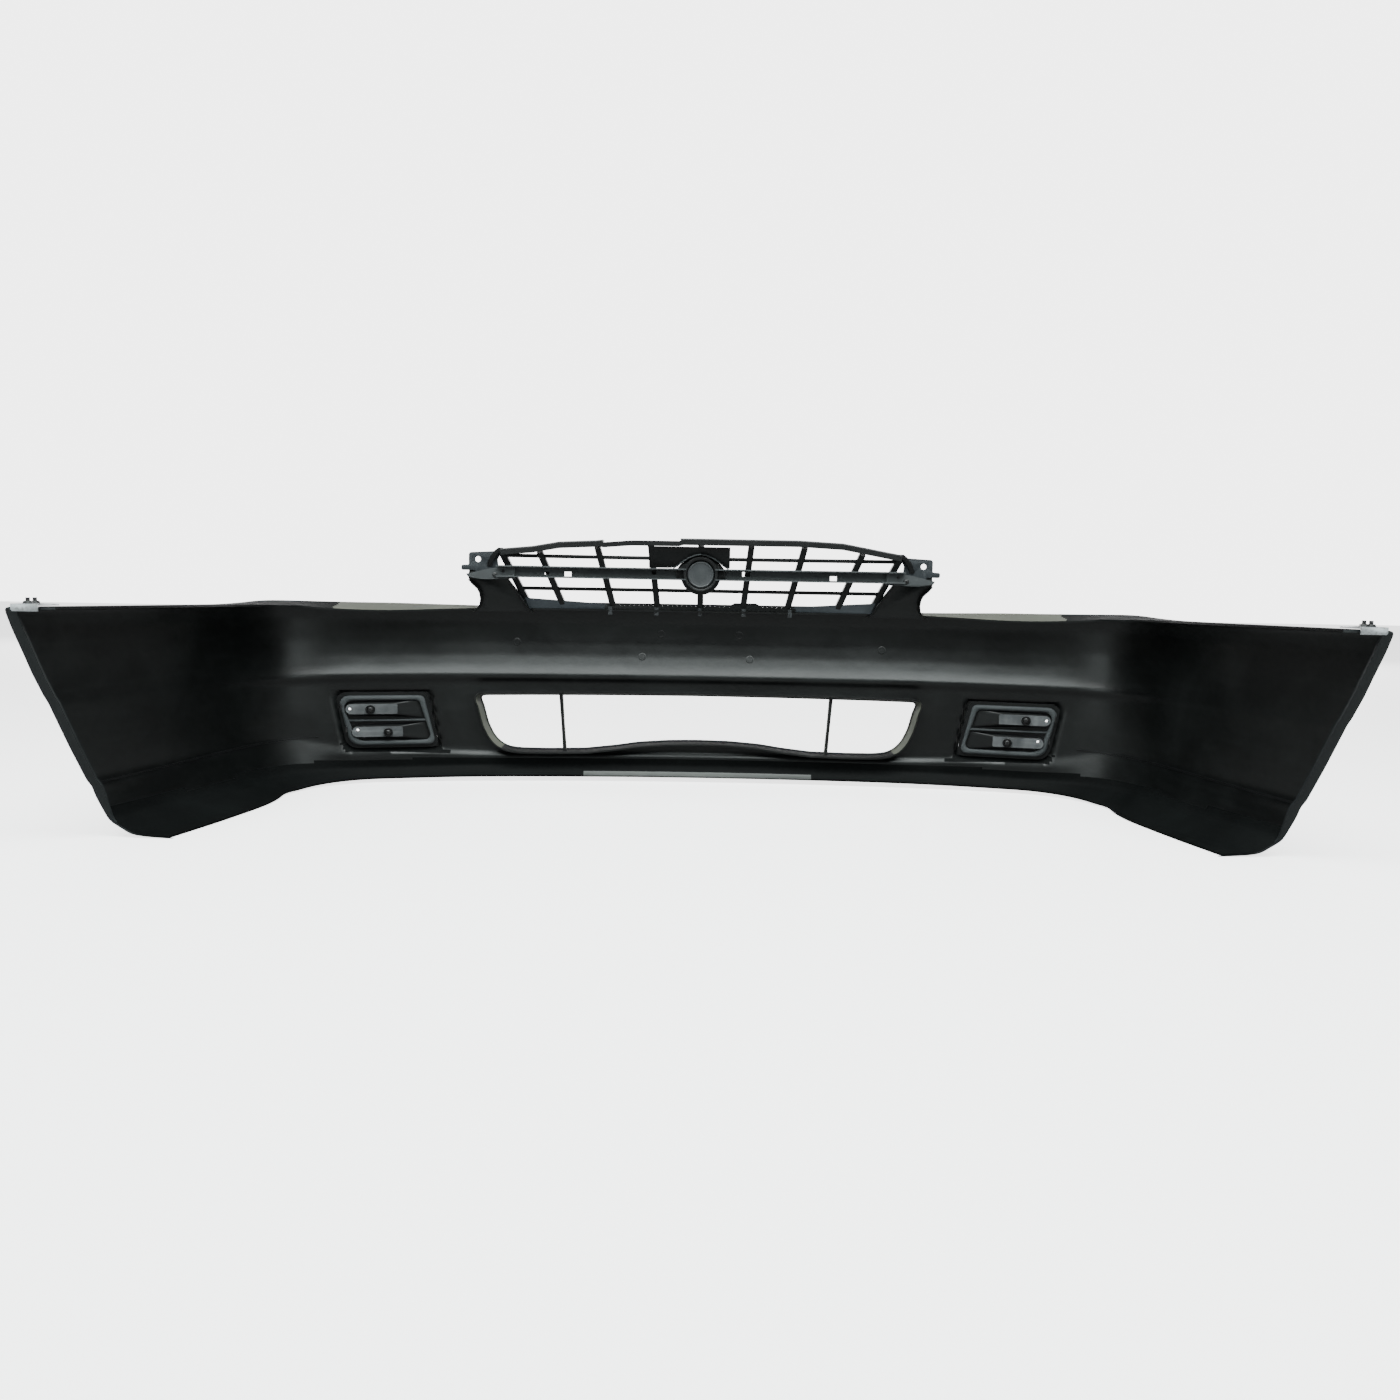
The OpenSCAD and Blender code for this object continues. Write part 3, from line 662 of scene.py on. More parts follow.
# --------------------------------------------------------------------------- the cover's form
@dataclass
class CoverForm:
    """Plan curve and section rows that every piece of the cover follows, in millimetres."""

    front: float = -321.0
    wall: float = 3.2
    plan: tuple[Point2, ...] = (
        (0, 0), (200, 6), (400, 24), (540, 50), (640, 82), (706, 126),
        (742, 186), (761, 268), (786, 400), (817, 530), (847, 640))
    knots: tuple[float, ...] = (0, 1.55, 3.2, 5.6, 7.4, 10)
    # heights, insets (centre, lamp, corner, wing, tip) and the plan length reached
    rows: tuple[tuple[tuple[float, ...], tuple[float, ...], float], ...] = (
        ((8, 6, 2, 0, 0), (30, 26, 62, 88, 94), 8.72),
        ((11, 9, 5, 3, 2), (24, 20, 54, 80, 14), 8.80),
        ((26, 24, 22, 24, 21), (11, 9, 18, 26, -2), 8.84),
        ((43, 46, 56, 60, 60), (14, 12, 8, 8, -1), 8.95),
        ((49, 59, 75, 74, 74), (9, 8, 3, 3, 3), 8.99),
        ((56, 66, 81, 80, 80), (8, 7, 0, -1, 0), 9.02),
        ((120, 122, 126, 130, 130), (10, 8, 4, 0, 0), 9.24),
        ((182, 181, 180, 183, 185), (10, 9, 5, 1, 0), 9.47),
        ((189, 188, 187, 190, 193), (19, 17, 11, 1, 0), 9.5),
        ((194, 193, 192, 197, 200), (16, 14, 8.5, 0, -1), 9.54),
        ((207, 206, 205, 210, 212), (11, 9.5, 5, -1, -1.5), 9.59),
        ((227, 226, 226, 228, 230), (5.5, 5, 2, -2.5, -2), 9.67),
        ((252, 252, 252, 254, 256), (2, 2, 0, -3.5, -2), 9.77),
        ((290, 292, 294, 290, 288), (2.5, 3, 3, -1, -2), 9.9),
        ((310, 314, 316, 308, 307), (12, 11, 10, 6, -1), 9.97),
        ((316, 320, 322, 315, 315), (18, 17, 16, 12, 0), 10.0),
        ((312, 306, 313, 315, 315), (38, 66, 72, 50, 44), 9.86))

    def plan_at(self, u: float) -> np.ndarray:
        """The plan curve: across, and behind the nose."""
        p = np.array(self.plan, float)
        n = len(p) - 1
        i = min(max(int(math.floor(u)), 0), n - 1)
        t = u - i
        b, c = p[i], p[i + 1]
        a = p[i - 1] if i > 0 else np.array([-p[1][0], p[1][1]])
        d = p[i + 2] if i < n - 1 else 2 * c - b
        return 0.5 * (2 * b + (c - a) * t + (2 * a - 5 * b + 4 * c - d) * t ** 2
                      + (3 * b - a - 3 * c + d) * t ** 3)

    def inward(self, u: float) -> np.ndarray:
        """Unit direction square to the plan curve, towards the car."""
        t = self.plan_at(u + 0.02) - self.plan_at(max(u - 0.02, 0.0))
        t /= np.linalg.norm(t)
        return np.array([-t[1], t[0]])

    def pick(self, values: Sequence[float], u: float) -> float:
        """Blends the five zone values at one place along the plan."""
        k = self.knots
        if u < k[1]:
            return values[0]
        for j in range(1, 4):
            if u < k[j + 1]:
                t = (u - k[j]) / (k[j + 1] - k[j])
                return values[j - 1] + (values[j] - values[j - 1]) * t * t * (3 - 2 * t)
        t = min((u - k[4]) / (k[5] - k[4]), 1.0)
        return values[3] + (values[4] - values[3]) * t

    def point(self, row: int, s: float) -> np.ndarray:
        """A point on the street face.

        Args:
            row: the section row.
            s: 0 at the middle, 10 at the wheel arch.

        Returns:
            The point, in millimetres.
        """
        heights, insets, reach = self.rows[row]
        u = s if s <= 7 else 7 + (s - 7) * (reach - 7) / 3
        q = self.plan_at(u) + self.inward(u) * self.pick(insets, u)
        return np.array([q[0], self.front + q[1], self.pick(heights, u)])

    def u_of_x(self, x: float) -> float:
        """Where along the plan the cover is this far across."""
        lo, hi = 0.0, 8.0
        for _ in range(22):
            mid = (lo + hi) / 2
            lo, hi = (mid, hi) if self.plan_at(mid)[0] < abs(x) else (lo, mid)
        return (lo + hi) / 2

    def skin_y(self, x: float, z: float) -> float:
        """Y of the street face at a place across and up."""
        u = self.u_of_x(x)
        zs = [self.pick(r[0], u) for r in self.rows[3:-1]]
        ins = [self.pick(r[1], u) for r in self.rows[3:-1]]
        return self.front + self.plan_at(u)[1] + float(np.interp(z, zs, ins))

    def grille_y(self, x: float, z: float) -> float:
        """Y of the grille's inner plane, which leans back as it rises."""
        return self.front + 30 + (z - 312) * 0.36 + 26 * (x / 340) ** 2


FORM = CoverForm()


# --------------------------------------------------------------------------- the moulding
@dataclass(frozen=True)
class FinishZones:
    """Where the moulding gets painted light or painted shade instead of its plain finish, in metres; spans
    are measured across the car.
    """

    lit_lip_top: float = 0.0165
    lit_lip_span: Point2 = (-0.204, 0.212)
    painted_shade_top: float = 0.040
    shaded_pocket_span: Point2 = (0.445, 0.665)
    shaded_pocket_top: float = 0.17
    shelf_low: float = 0.3
    painted_light_shelf_from: float = 0.35
    shaded_shelf_from: float = 0.62

    def pick(self, index: int, at: Vector, up: float) -> int:
        """Chooses the finish of one face.

        Args:
            index: the face's present material index.
            at: the face's centre.
            up: the upward part of its normal.

        Returns:
            Index into skin, edge, painted-light lip, painted-shade and painted-light finishes.
        """
        x, z = abs(at.x), at.z
        # painted light on the middle of the bottom lip
        if z < self.lit_lip_top and self.lit_lip_span[0] < at.x < self.lit_lip_span[1]:
            return 2
        if index != 0:
            return index
        # painted shade on the lower band, the fog pockets' up-facing slopes and the wings' up-facing shelves
        pocket = up > 0.3 and self.shaded_pocket_span[0] < x < self.shaded_pocket_span[1] and z < self.shaded_pocket_top
        shelf = z > self.shelf_low
        if z < self.painted_shade_top or pocket or (up > 0.3 and x > self.shaded_shelf_from and shelf):
            return 3
        # painted light on the up-facing shelves beside the lamps
        return 4 if shelf and up > 0.6 and x > self.painted_light_shelf_from else 0


@dataclass
class Fascia:
    """The one thin moulding: skin, shelves, openings, collars, posts, struts and tab."""

    form: CoverForm = field(default_factory=CoverForm)
    coarse_mm: float = 11.0
    fine_mm: float = 4.5
    row_mm: float = 5.0
    easing: int = 2
    intake_half: float = 393.0
    intake_top: float = 154.5
    intake_low: float = 58.0
    intake_rise: float = 17.0
    intake_collar: float = 26.0
    strut_x: float = 244.5
    strut_w: float = 6.0
    moat_depth: float = 9.0
    moat_width: float = 11.0
    rib_from: float = 655.0
    rib_z: float = 83.0
    rib_fall: float = 0.045
    ribs: list[bpy.types.Object] = field(default_factory=list)

    # ---- stations and rows
    def stations(self) -> list[float]:
        """Places along the plan, closer together round the fog pockets."""
        marks, s = [0.0], 0.0
        while s < 10.0:
            here = self.form.plan_at(min(s, 9.99))
            ahead = self.form.plan_at(min(s + 0.02, 10.0))
            per = max(np.linalg.norm(ahead - here) / 0.02, 1.0)
            step = self.fine_mm if 445 < here[0] < 664 else self.coarse_mm
            s = min(s + step / per, 10.0)
            marks.append(s)
        if marks[-1] - marks[-2] < 0.02:
            marks.pop(-2)
        return marks

    def eased(self, column: np.ndarray, counts: Sequence[int]) -> np.ndarray:
        """Divides a section into short runs and rounds its folds.

        Args:
            column: the section's corner points.
            counts: number of runs for each length between corners.

        Returns:
            The finer section.
        """
        out = [column[0]]
        for k, n in enumerate(counts):
            for j in range(1, n + 1):
                out.append(column[k] + (column[k + 1] - column[k]) * j / n)
        p = np.array(out)
        for _ in range(self.easing):
            q = p.copy()
            q[1:-1] = 0.25 * p[:-2] + 0.5 * p[1:-1] + 0.25 * p[2:]
            p = q
        return p

    def faces(self) -> tuple[np.ndarray, np.ndarray, int]:
        """Street face and inner face of the skin.

        Returns:
            Two arrays of shape (rows, columns, 3), and the number of columns in each
            turned-in wheel-arch flange.
        """
        form = self.form
        marks = self.stations()
        corner = np.array([[form.point(r, s) for r in range(len(form.rows))] for s in marks])
        mean = np.linalg.norm(np.diff(corner, axis=1), axis=2).mean(0)
        counts = [max(2, int(math.ceil(m / self.row_mm))) for m in mean]
        half = np.array([self.eased(c, counts) for c in corner])
        edge = np.cumsum([0, *counts])
        low = np.clip((np.arange(half.shape[1]) - edge[2]) / max(counts[2], 1), 0, 1)
        flange = []
        for t, back in ((0.1, 0.55), (0.35, 1.1), (0.7, 1.4), (1.0, 1.5)):
            col = half[-1].copy()
            col[:, 0] -= (6 + 9 * low) * t
            col[:, 1] += back * low
            flange.append(col)
        half = np.concatenate([half, np.array(flange)])
        mirrored = half[:0:-1] * np.array([-1, 1, 1])
        sheet = np.concatenate([mirrored, half]).transpose(1, 0, 2)
        sheet[:, :, 1] -= self.moat(sheet)
        up = np.gradient(sheet, axis=0)
        along = np.gradient(sheet, axis=1)
        n = np.cross(up, along)
        n /= np.maximum(np.linalg.norm(n, axis=2, keepdims=True), 1e-9)
        inner = sheet + form.wall * n
        inner[:, :, 2] = np.maximum(inner[:, :, 2], 0.2)
        inner[:, :, 1] -= self.witness(inner)
        return sheet, inner, len(flange)

    def moat(self, p: np.ndarray) -> np.ndarray:
        """How far each point steps out round a fog pocket."""
        fog = FogPocket()
        x = (np.abs(p[:, :, 0]) - fog.x) / math.cos(math.radians(fog.turn))
        z = p[:, :, 2] - fog.z
        loop = np.array(rounded(fog.outline(self.moat_width), 96, 1))
        a, b = loop, np.roll(loop, -1, 0)
        q = np.stack([x, z], -1)[:, :, None, :]
        ab = (b - a)[None, None]
        t = np.clip(((q - a) * ab).sum(-1) / (ab ** 2).sum(-1), 0, 1)
        near = np.linalg.norm(q - (a + t[..., None] * ab), axis=-1).min(-1)
        cross = (q[..., 0] - a[:, 0]) * ab[..., 1] - (q[..., 1] - a[:, 1]) * ab[..., 0]
        inside = (cross < 0).all(-1)
        signed = np.where(inside, near, -near)
        t = np.clip((signed + 2.5) / 6.0, 0, 1)
        return self.moat_depth * t * t * (3 - 2 * t)

    @staticmethod
    def witness(p: np.ndarray) -> np.ndarray:
        """A faint line across the inner face where two mould blocks meet."""
        x, z = p[:, :, 0], p[:, :, 2]
        line = 258 - 0.006 * x
        across = np.clip((300 - np.abs(x)) / 20, 0, 1)
        return -0.5 * across * np.exp(-((z - line) / 3.2) ** 2)

    def skin(self) -> bpy.types.Object:
        """The thin wall as one closed sheet."""
        outer, inner, n = self.faces()
        shell = Shell()
        cols = outer.shape[1]
        for lo, hi, mark in ((0, n + 1, 1), (n, cols - n, 0), (cols - n - 1, cols, 1)):
            shell.grid(outer[:, lo:hi], mark=mark)
            shell.grid(inner[:, lo:hi], mark=mark)
            shell.grid(np.array([outer[0, lo:hi], inner[0, lo:hi]]), mark=mark)
            shell.grid(np.array([outer[-1, lo:hi], inner[-1, lo:hi]]), mark=mark)
        for k in (0, -1):
            shell.grid(np.stack([outer[:, k], inner[:, k]], 0), mark=1)
        finishes = (Surface.SKIN, Surface.EDGE, Surface.LIP, Surface.VALANCE, Surface.THIN)
        skin = shell.piece("fascia_skin", finishes)
        zones = FinishZones()
        for f in skin.data.polygons:
            f.material_index = zones.pick(f.material_index, f.center, f.normal.z)
        self.seam(outer, inner, n)
        return skin

    def seam(self, outer: np.ndarray, inner: np.ndarray, n: int) -> None:
        """Adds a thin rib on each wing, from the fog pocket's lower corner to the wheel arch.

        Args:
            outer: the street face.
            inner: the inner face.
            n: columns in each turned-in flange.
        """
        self.ribs.clear()
        cols = range(n + 1, outer.shape[1] - n - 1)
        across = inner[8, :, 0]
        for side in (-1, 1):
            rows = []
            for c in (k for k in cols if side * across[k] > self.rib_from):
                z = self.rib_z - self.rib_fall * (abs(across[c]) - 640)
                sel = np.flatnonzero((inner[:, c, 2] > 30) & (inner[:, c, 2] < 180))
                zs = inner[sel, c, 2]
                order = np.argsort(zs)
                ring = []
                for dz, lift in ((-1.3, -0.4), (-1.1, 0.9), (1.1, 0.9), (1.3, -0.4)):
                    at = [float(np.interp(z + dz, zs[order], inner[sel, c, i][order])) for i in range(3)]
                    low = [float(np.interp(z + dz, zs[order], outer[sel, c, i][order])) for i in range(3)]
                    d = np.array(at) - np.array(low)
                    ring.append(np.array(at) + d / np.linalg.norm(d) * lift)
                rows.append(ring)
            rib = Shell()
            grid = np.array(rows)
            rib.grid(grid, closed=True)
            rib.cap(grid[0])
            rib.cap(grid[-1])
            piece = rib.piece(f"fascia_rib_{'left' if side > 0 else 'right'}", (Surface.BLACK,))
            Workbench.smooth(piece, 40)
            self.ribs.append(piece)

    # ---- openings
    def intake(self) -> list[Point2]:
        """Outline of the lower intake, anticlockwise seen from the street."""
        h, t, b, r = self.intake_half, self.intake_top, self.intake_low, self.intake_rise
        half = [(0, b + r), (55, b + r - 1), (110, b + r - 5), (150, b + 6), (205, b), (270, b - 1),
                (322, b), (343, b + 3), (358, b + 11), (370, b + 25), (380, b + 47), (h - 5, t - 16),
                (h + 1, t - 3), (h - 3, t), (300, t + 1), (140, t + 2)]
        loop = [(float(x), float(z)) for x, z in half] + [(0.0, t + 2.5)]
        return rounded(loop + [(-x, z) for x, z in half[:0:-1]], 360, 2)

    def collar(self, shell: Shell, loop: Sequence[Point2], front: float, back: float, flare: float,
               follow: Callable[[float, float], float], mark: int = 0) -> None:
        """Adds a thin turned-back wall round an outline.

        Args:
            shell: where its faces go.
            loop: the outline.
            front: distance behind the street face where the wall starts.
            back: distance behind the street face where the wall ends.
            flare: how much the wall opens towards the inside.
            follow: street face Y at a place across and up.
            mark: material index.
        """
        t = self.form.wall * 0.85
        y = [follow(x, z) for x, z in loop]
        rings = []
        for out, depth in ((0, front), (flare * 0.3, front + 4), (flare, back - 0.8), (flare + 0.5, back),
                           (flare + t - 0.5, back), (flare + t, back - 0.8), (flare * 0.3 + t, front + 4),
                           (t, front)):
            rings.append([(p[0], y[k] + depth, p[1]) for k, p in enumerate(grown(loop, out))])
        rings.append(rings[0])
        shell.grid(np.array(rings), closed=True, mark=mark)

    def post(self, side: int) -> Shell:
        """The upright that carries the grille and its bracket, on one side."""
        inner_edge = [(296, 306), (301, 310), (307, 321), (314, 332), (323, 346), (332, 359), (336, 366)]
        outer_edge = [(403, 366), (402, 361), (395, 352), (388, 345), (385, 338), (384, 328), (386, 318),
                      (391, 311), (400, 305)]
        edge = inner_edge + [(338, 378), (402, 378)] + outer_edge
        form = self.form
        pad = form.grille_y(372, 368) + 2
        shell = Shell()

        def at(x: float, z: float) -> float:
            """Y of the plate's middle."""
            lean = form.grille_y(x, z) + 1.5
            return pad if z > 368 else lean

        rows = np.array([[(side * x, at(x, z) + d, z) for x, z in edge] for d in (-1.7, 1.7)])
        shell.grid(rows, closed=True)
        shell.cap(rows[0])
        shell.cap(rows[1])
        for line, into in ((inner_edge, 1), (outer_edge[1:], -1)):
            rim = ((0, -1.5), (0, 11.5), (1.2, 12.3), (2.6, 11.5), (2.6, -1.5), (0, -1.5))
            rows = np.array([[(side * (x + into * w), at(x, z) + d, z) for x, z in line] for w, d in rim])
            shell.grid(rows.transpose(1, 0, 2))
            shell.cap(rows[:-1, 0])
            shell.cap(rows[:-1, -1])
        return shell

    def build(self) -> bpy.types.Object:
        """Builds, cuts, joins and dresses the moulding."""
        form = self.form
        skin = self.skin()
        intake = self.intake()
        Workbench.cut(skin, outline_prism(grown(intake, -0.7), form.front - 30, form.front + 45)
                      .piece("cutter", (Surface.SKIN,)))
        fog = FogPocket()
        for side in (-1, 1):
            loop = [(side * (fog.x + x * math.cos(math.radians(fog.turn))), fog.z + z)
                    for x, z in rounded(fog.outline(1.8), 90, 1)]
            Workbench.cut(skin, outline_prism(loop, form.front - 30, form.front + 110)
                          .piece("cutter", (Surface.SKIN,)))
        extra = Shell()
        self.collar(extra, intake, 0.8, self.intake_collar, 5.0, form.skin_y, mark=0)
        for side in (-1, 1):
            x = self.strut_x + 4.5 * side
            steps = 12
            for k in range(steps):
                ends = []
                for j in (k, k + 1):
                    t = j / steps
                    z = self.intake_top + 6 + (self.intake_low - 4 - self.intake_top - 6) * t
                    xx = x - 7 * t
                    ends.append((side * xx, form.skin_y(xx, z) + 9, z))
                extra.beam(ends[0], ends[1], (self.strut_w * (0.85 + 0.3 * abs(k / steps - 0.5)), 10, 0.4))
        # raised tab at the upper edge, car's right
        f = form.front
        tab = [(-50, 312), (-51, 317), (-56, 324), (-62, 327),
               (-100, 327), (-106, 324), (-112, 317), (-113, 312)]
        rows = np.array([[(x, f + 28 + d, z) for x, z in tab] for d in (-1.6, 1.6)])
        extra.grid(rows, closed=True)
        extra.cap(rows[0])
        extra.cap(rows[1])
        trim = extra.piece("fascia_trim", (Surface.SKIN, Surface.THIN))
        # the side walls of the intake's collar and struts that face across the car get painted light
        for f in trim.data.polygons:
            if abs(f.normal.x) > 0.5 and f.center.z < 0.17:
                f.material_index = 1
        posts = []
        for side in (-1, 1):
            post = self.post(side).piece(f"fascia_post_{'left' if side > 0 else 'right'}", (Surface.SKIN,))
            Workbench.soften(post, 0.8, 50)
            posts.append(post)
        for extra_piece in (trim, *posts):
            Workbench.smooth(extra_piece, 40)
        Workbench.smooth(skin, 38)
        joined = join_pieces("fascia", [skin, trim, *posts, *self.ribs])
        Workbench.settle_on_body(joined, "fascia_plastic", ("fascia",))
        return joined


def join_pieces(name: str, pieces: Sequence[bpy.types.Object]) -> bpy.types.Object:
    """Joins meshes into one piece, keeping their finishes and shading.

    Args:
        name: name of the joined piece.
        pieces: the meshes, all at the origin.

    Returns:
        The joined piece.
    """
    slots: list[bpy.types.Material] = []
    bm = bmesh.new()
    for obj in pieces:
        index = {}
        for k, mat in enumerate(obj.data.materials):
            if mat not in slots:
                slots.append(mat)
            index[k] = slots.index(mat)
        first = len(bm.faces)
        bm.from_mesh(obj.data)
        bm.faces.ensure_lookup_table()
        for f in bm.faces[first:]:
            f.material_index = index.get(f.material_index, 0)
    mesh = bpy.data.meshes.new(name)
    bm.to_mesh(mesh)
    bm.free()
    for mat in slots:
        mesh.materials.append(mat)
    for obj in pieces:
        old = obj.data
        bpy.data.objects.remove(obj)
        bpy.data.meshes.remove(old)
    out = bpy.data.objects.new(name, mesh)
    bpy.context.scene.collection.objects.link(out)
    return out


# --------------------------------------------------------------------------- repeated pieces
class RepeatTree:
    """Geometry Nodes trees that place bars and fixings at marked points."""

    @staticmethod
    def group(name: str, inputs: Sequence[tuple[str, str, object]],
              ) -> tuple[bpy.types.NodeTree, dict[str, str]]:
        """Starts a tree with named inputs.

        Args:
            name: the tree's name.
            inputs: (name, socket type, default) of each input.

        Returns:
            The tree, and the identifier of each named input.
        """
        tree = bpy.data.node_groups.new(name, "GeometryNodeTree")
        tree.interface.new_socket("Geometry", in_out="INPUT", socket_type="NodeSocketGeometry")
        ids = {}
        for label, kind, default in inputs:
            s = tree.interface.new_socket(label, in_out="INPUT", socket_type=kind)
            if default is not None:
                s.default_value = default
            ids[label] = s.identifier
        tree.interface.new_socket("Geometry", in_out="OUTPUT", socket_type="NodeSocketGeometry")
        return tree, ids

    @staticmethod
    def bars() -> tuple[bpy.types.NodeTree, dict[str, str]]:
        """A tree that puts one rounded bar on each point, turned and stretched by attributes."""
        tree, ids = RepeatTree.group("bar_field", [
            ("Width", "NodeSocketFloat", 0.008), ("Depth", "NodeSocketFloat", 0.015),
            ("Rounding", "NodeSocketFloat", 0.0015), ("Finish", "NodeSocketMaterial", None)])
        t = Tree(tree)
        inp, out = t.add("NodeGroupInput"), t.add("NodeGroupOutput")
        quad = t.add("GeometryNodeCurvePrimitiveQuadrilateral")
        t.join(inp.outputs["Width"], quad.inputs["Width"])
        t.join(inp.outputs["Depth"], quad.inputs["Height"])
        fillet = t.add("GeometryNodeFilletCurve")
        if "Mode" in fillet.inputs:
            fillet.inputs["Mode"].default_value = "Poly"
        else:
            fillet.mode = "POLY"
        fillet.inputs["Count"].default_value = 3
        t.join(quad.outputs["Curve"], fillet.inputs["Curve"])
        t.join(inp.outputs["Rounding"], fillet.inputs["Radius"])
        line = t.add("GeometryNodeCurvePrimitiveLine")
        line.inputs["Start"].default_value = (0, 0, -0.5)
        line.inputs["End"].default_value = (0, 0, 0.5)
        sweep = t.add("GeometryNodeCurveToMesh")
        sweep.inputs["Fill Caps"].default_value = True
        t.join(line.outputs["Curve"], sweep.inputs["Curve"])
        t.join(fillet.outputs["Curve"], sweep.inputs["Profile Curve"])
        RepeatTree.spread(t, inp, out, sweep.outputs["Mesh"], True)
        return tree, ids

    @staticmethod
    def copies() -> tuple[bpy.types.NodeTree, dict[str, str]]:
        """A tree that puts a copy of a pattern piece on each point, turned by an attribute."""
        tree, ids = RepeatTree.group("fixing_field", [
            ("Pattern", "NodeSocketObject", None), ("Scale", "NodeSocketFloat", 1.0),
            ("Finish", "NodeSocketMaterial", None)])
        t = Tree(tree)
        inp, out = t.add("NodeGroupInput"), t.add("NodeGroupOutput")
        info = t.add("GeometryNodeObjectInfo")
        t.join(inp.outputs["Pattern"], info.inputs["Object"])
        size = t.add("GeometryNodeTransform")
        t.join(info.outputs["Geometry"], size.inputs["Geometry"])
        spread = t.add("ShaderNodeCombineXYZ")
        for axis in "XYZ":
            t.join(inp.outputs["Scale"], spread.inputs[axis])
        t.join(spread.outputs["Vector"], size.inputs["Scale"])
        RepeatTree.spread(t, inp, out, size.outputs["Geometry"], False)
        return tree, ids

    @staticmethod
    def spread(t: Tree, inp: bpy.types.Node, out: bpy.types.Node, shape: bpy.types.NodeSocket,
               stretched: bool) -> None:
        """Ends a tree: instances, real geometry, finish."""
        put = t.add("GeometryNodeInstanceOnPoints")
        t.join(inp.outputs["Geometry"], put.inputs["Points"])
        t.join(shape, put.inputs["Instance"])
        turn = t.add("GeometryNodeInputNamedAttribute", data_type="FLOAT_VECTOR")
        turn.inputs["Name"].default_value = "turn"
        rot = t.add("FunctionNodeEulerToRotation")
        t.join(turn.outputs["Attribute"], rot.inputs["Euler"])
        t.join(rot.outputs["Rotation"], put.inputs["Rotation"])
        if stretched:
            scale = t.add("GeometryNodeInputNamedAttribute", data_type="FLOAT_VECTOR")
            scale.inputs["Name"].default_value = "stretch"
            t.join(scale.outputs["Attribute"], put.inputs["Scale"])
        real = t.add("GeometryNodeRealizeInstances")
        t.join(put.outputs["Instances"], real.inputs["Geometry"])
        finish = t.add("GeometryNodeSetMaterial")
        t.join(real.outputs["Geometry"], finish.inputs["Geometry"])
        t.join(inp.outputs["Finish"], finish.inputs["Material"])
        t.join(finish.outputs["Geometry"], out.inputs["Geometry"])


class Repeater:
    """Runs the repeat trees on marked points and keeps the plain mesh."""

    def __init__(self) -> None:
        """Builds both trees once."""
        self.bar_tree, self.bar_ids = RepeatTree.bars()
        self.copy_tree, self.copy_ids = RepeatTree.copies()

    @staticmethod
    def points(name: str, places: Sequence[Point3], turns: Sequence[Point3],
               stretches: Sequence[Point3] | None = None) -> bpy.types.Object:
        """A mesh of loose points with their turns and stretches.

        Args:
            name: the object's name.
            places: points in millimetres.
            turns: Euler angles in radians.
            stretches: scale of each copy, or None.

        Returns:
            The object that a tree is put on.
        """
        mesh = bpy.data.meshes.new(name)
        mesh.from_pydata([tuple(c * MM for c in p) for p in places], [], [])
        sets = [("turn", turns)] + ([("stretch", stretches)] if stretches else [])
        for label, values in sets:
            attribute = mesh.attributes.new(label, "FLOAT_VECTOR", "POINT")
            attribute.data.foreach_set("vector", np.array(values, float).ravel())
        obj = bpy.data.objects.new(name, mesh)
        bpy.context.scene.collection.objects.link(obj)
        return obj

    def bars(self, name: str, spans: Sequence[tuple[Point3, Point3]], width: float, depth: float,
             rounding: float, surface: Surface) -> bpy.types.Object:
        """Rounded bars between pairs of points.

        Args:
            name: the piece's name.
            spans: end points of each bar, in millimetres.
            width: across the bar, in the XZ plane.
            depth: front to back.
            rounding: radius of the long edges.
            surface: the bars' finish.

        Returns:
            The bars as one plain mesh.
        """
        places, turns, stretches = [], [], []
        for a, b in spans:
            va, vb = Vector(a), Vector(b)
            along = (vb - va).normalized()
            deep = Vector((0, 1, 0))
            deep = (deep - along * deep.dot(along)).normalized()
            wide = deep.cross(along)
            m = Matrix((wide, deep, along)).transposed()
            places.append(tuple((va + vb) / 2))
            turns.append(tuple(m.to_euler()))
            stretches.append((1.0, 1.0, (vb - va).length * MM))
        obj = self.points(name, places, turns, stretches)
        mod = obj.modifiers.new("bars", "NODES")
        mod.node_group = self.bar_tree
        mod[self.bar_ids["Width"]] = width * MM
        mod[self.bar_ids["Depth"]] = depth * MM
        mod[self.bar_ids["Rounding"]] = rounding * MM
        mod[self.bar_ids["Finish"]] = PAINT.get(surface)
        return Workbench.settle(obj)

    def copies(self, name: str, pattern: bpy.types.Object, places: Sequence[Point3],
               turns: Sequence[Point3], surface: Surface, scale: float = 1.0) -> bpy.types.Object:
        """Copies of a pattern piece at several places.

        Args:
            name: the piece's name.
            pattern: the piece to copy, which is removed afterwards.
            places: where, in millimetres.
            turns: Euler angles in radians.
            surface: the copies' finish.
            scale: size of the copies.

        Returns:
            The copies as one plain mesh.
        """
        obj = self.points(name, places, turns)
        mod = obj.modifiers.new("copies", "NODES")
        mod.node_group = self.copy_tree
        mod[self.copy_ids["Pattern"]] = pattern
        mod[self.copy_ids["Scale"]] = scale
        mod[self.copy_ids["Finish"]] = PAINT.get(surface)
        Workbench.settle(obj)
        bpy.data.objects.remove(pattern)
        return obj


REPEAT = Repeater()


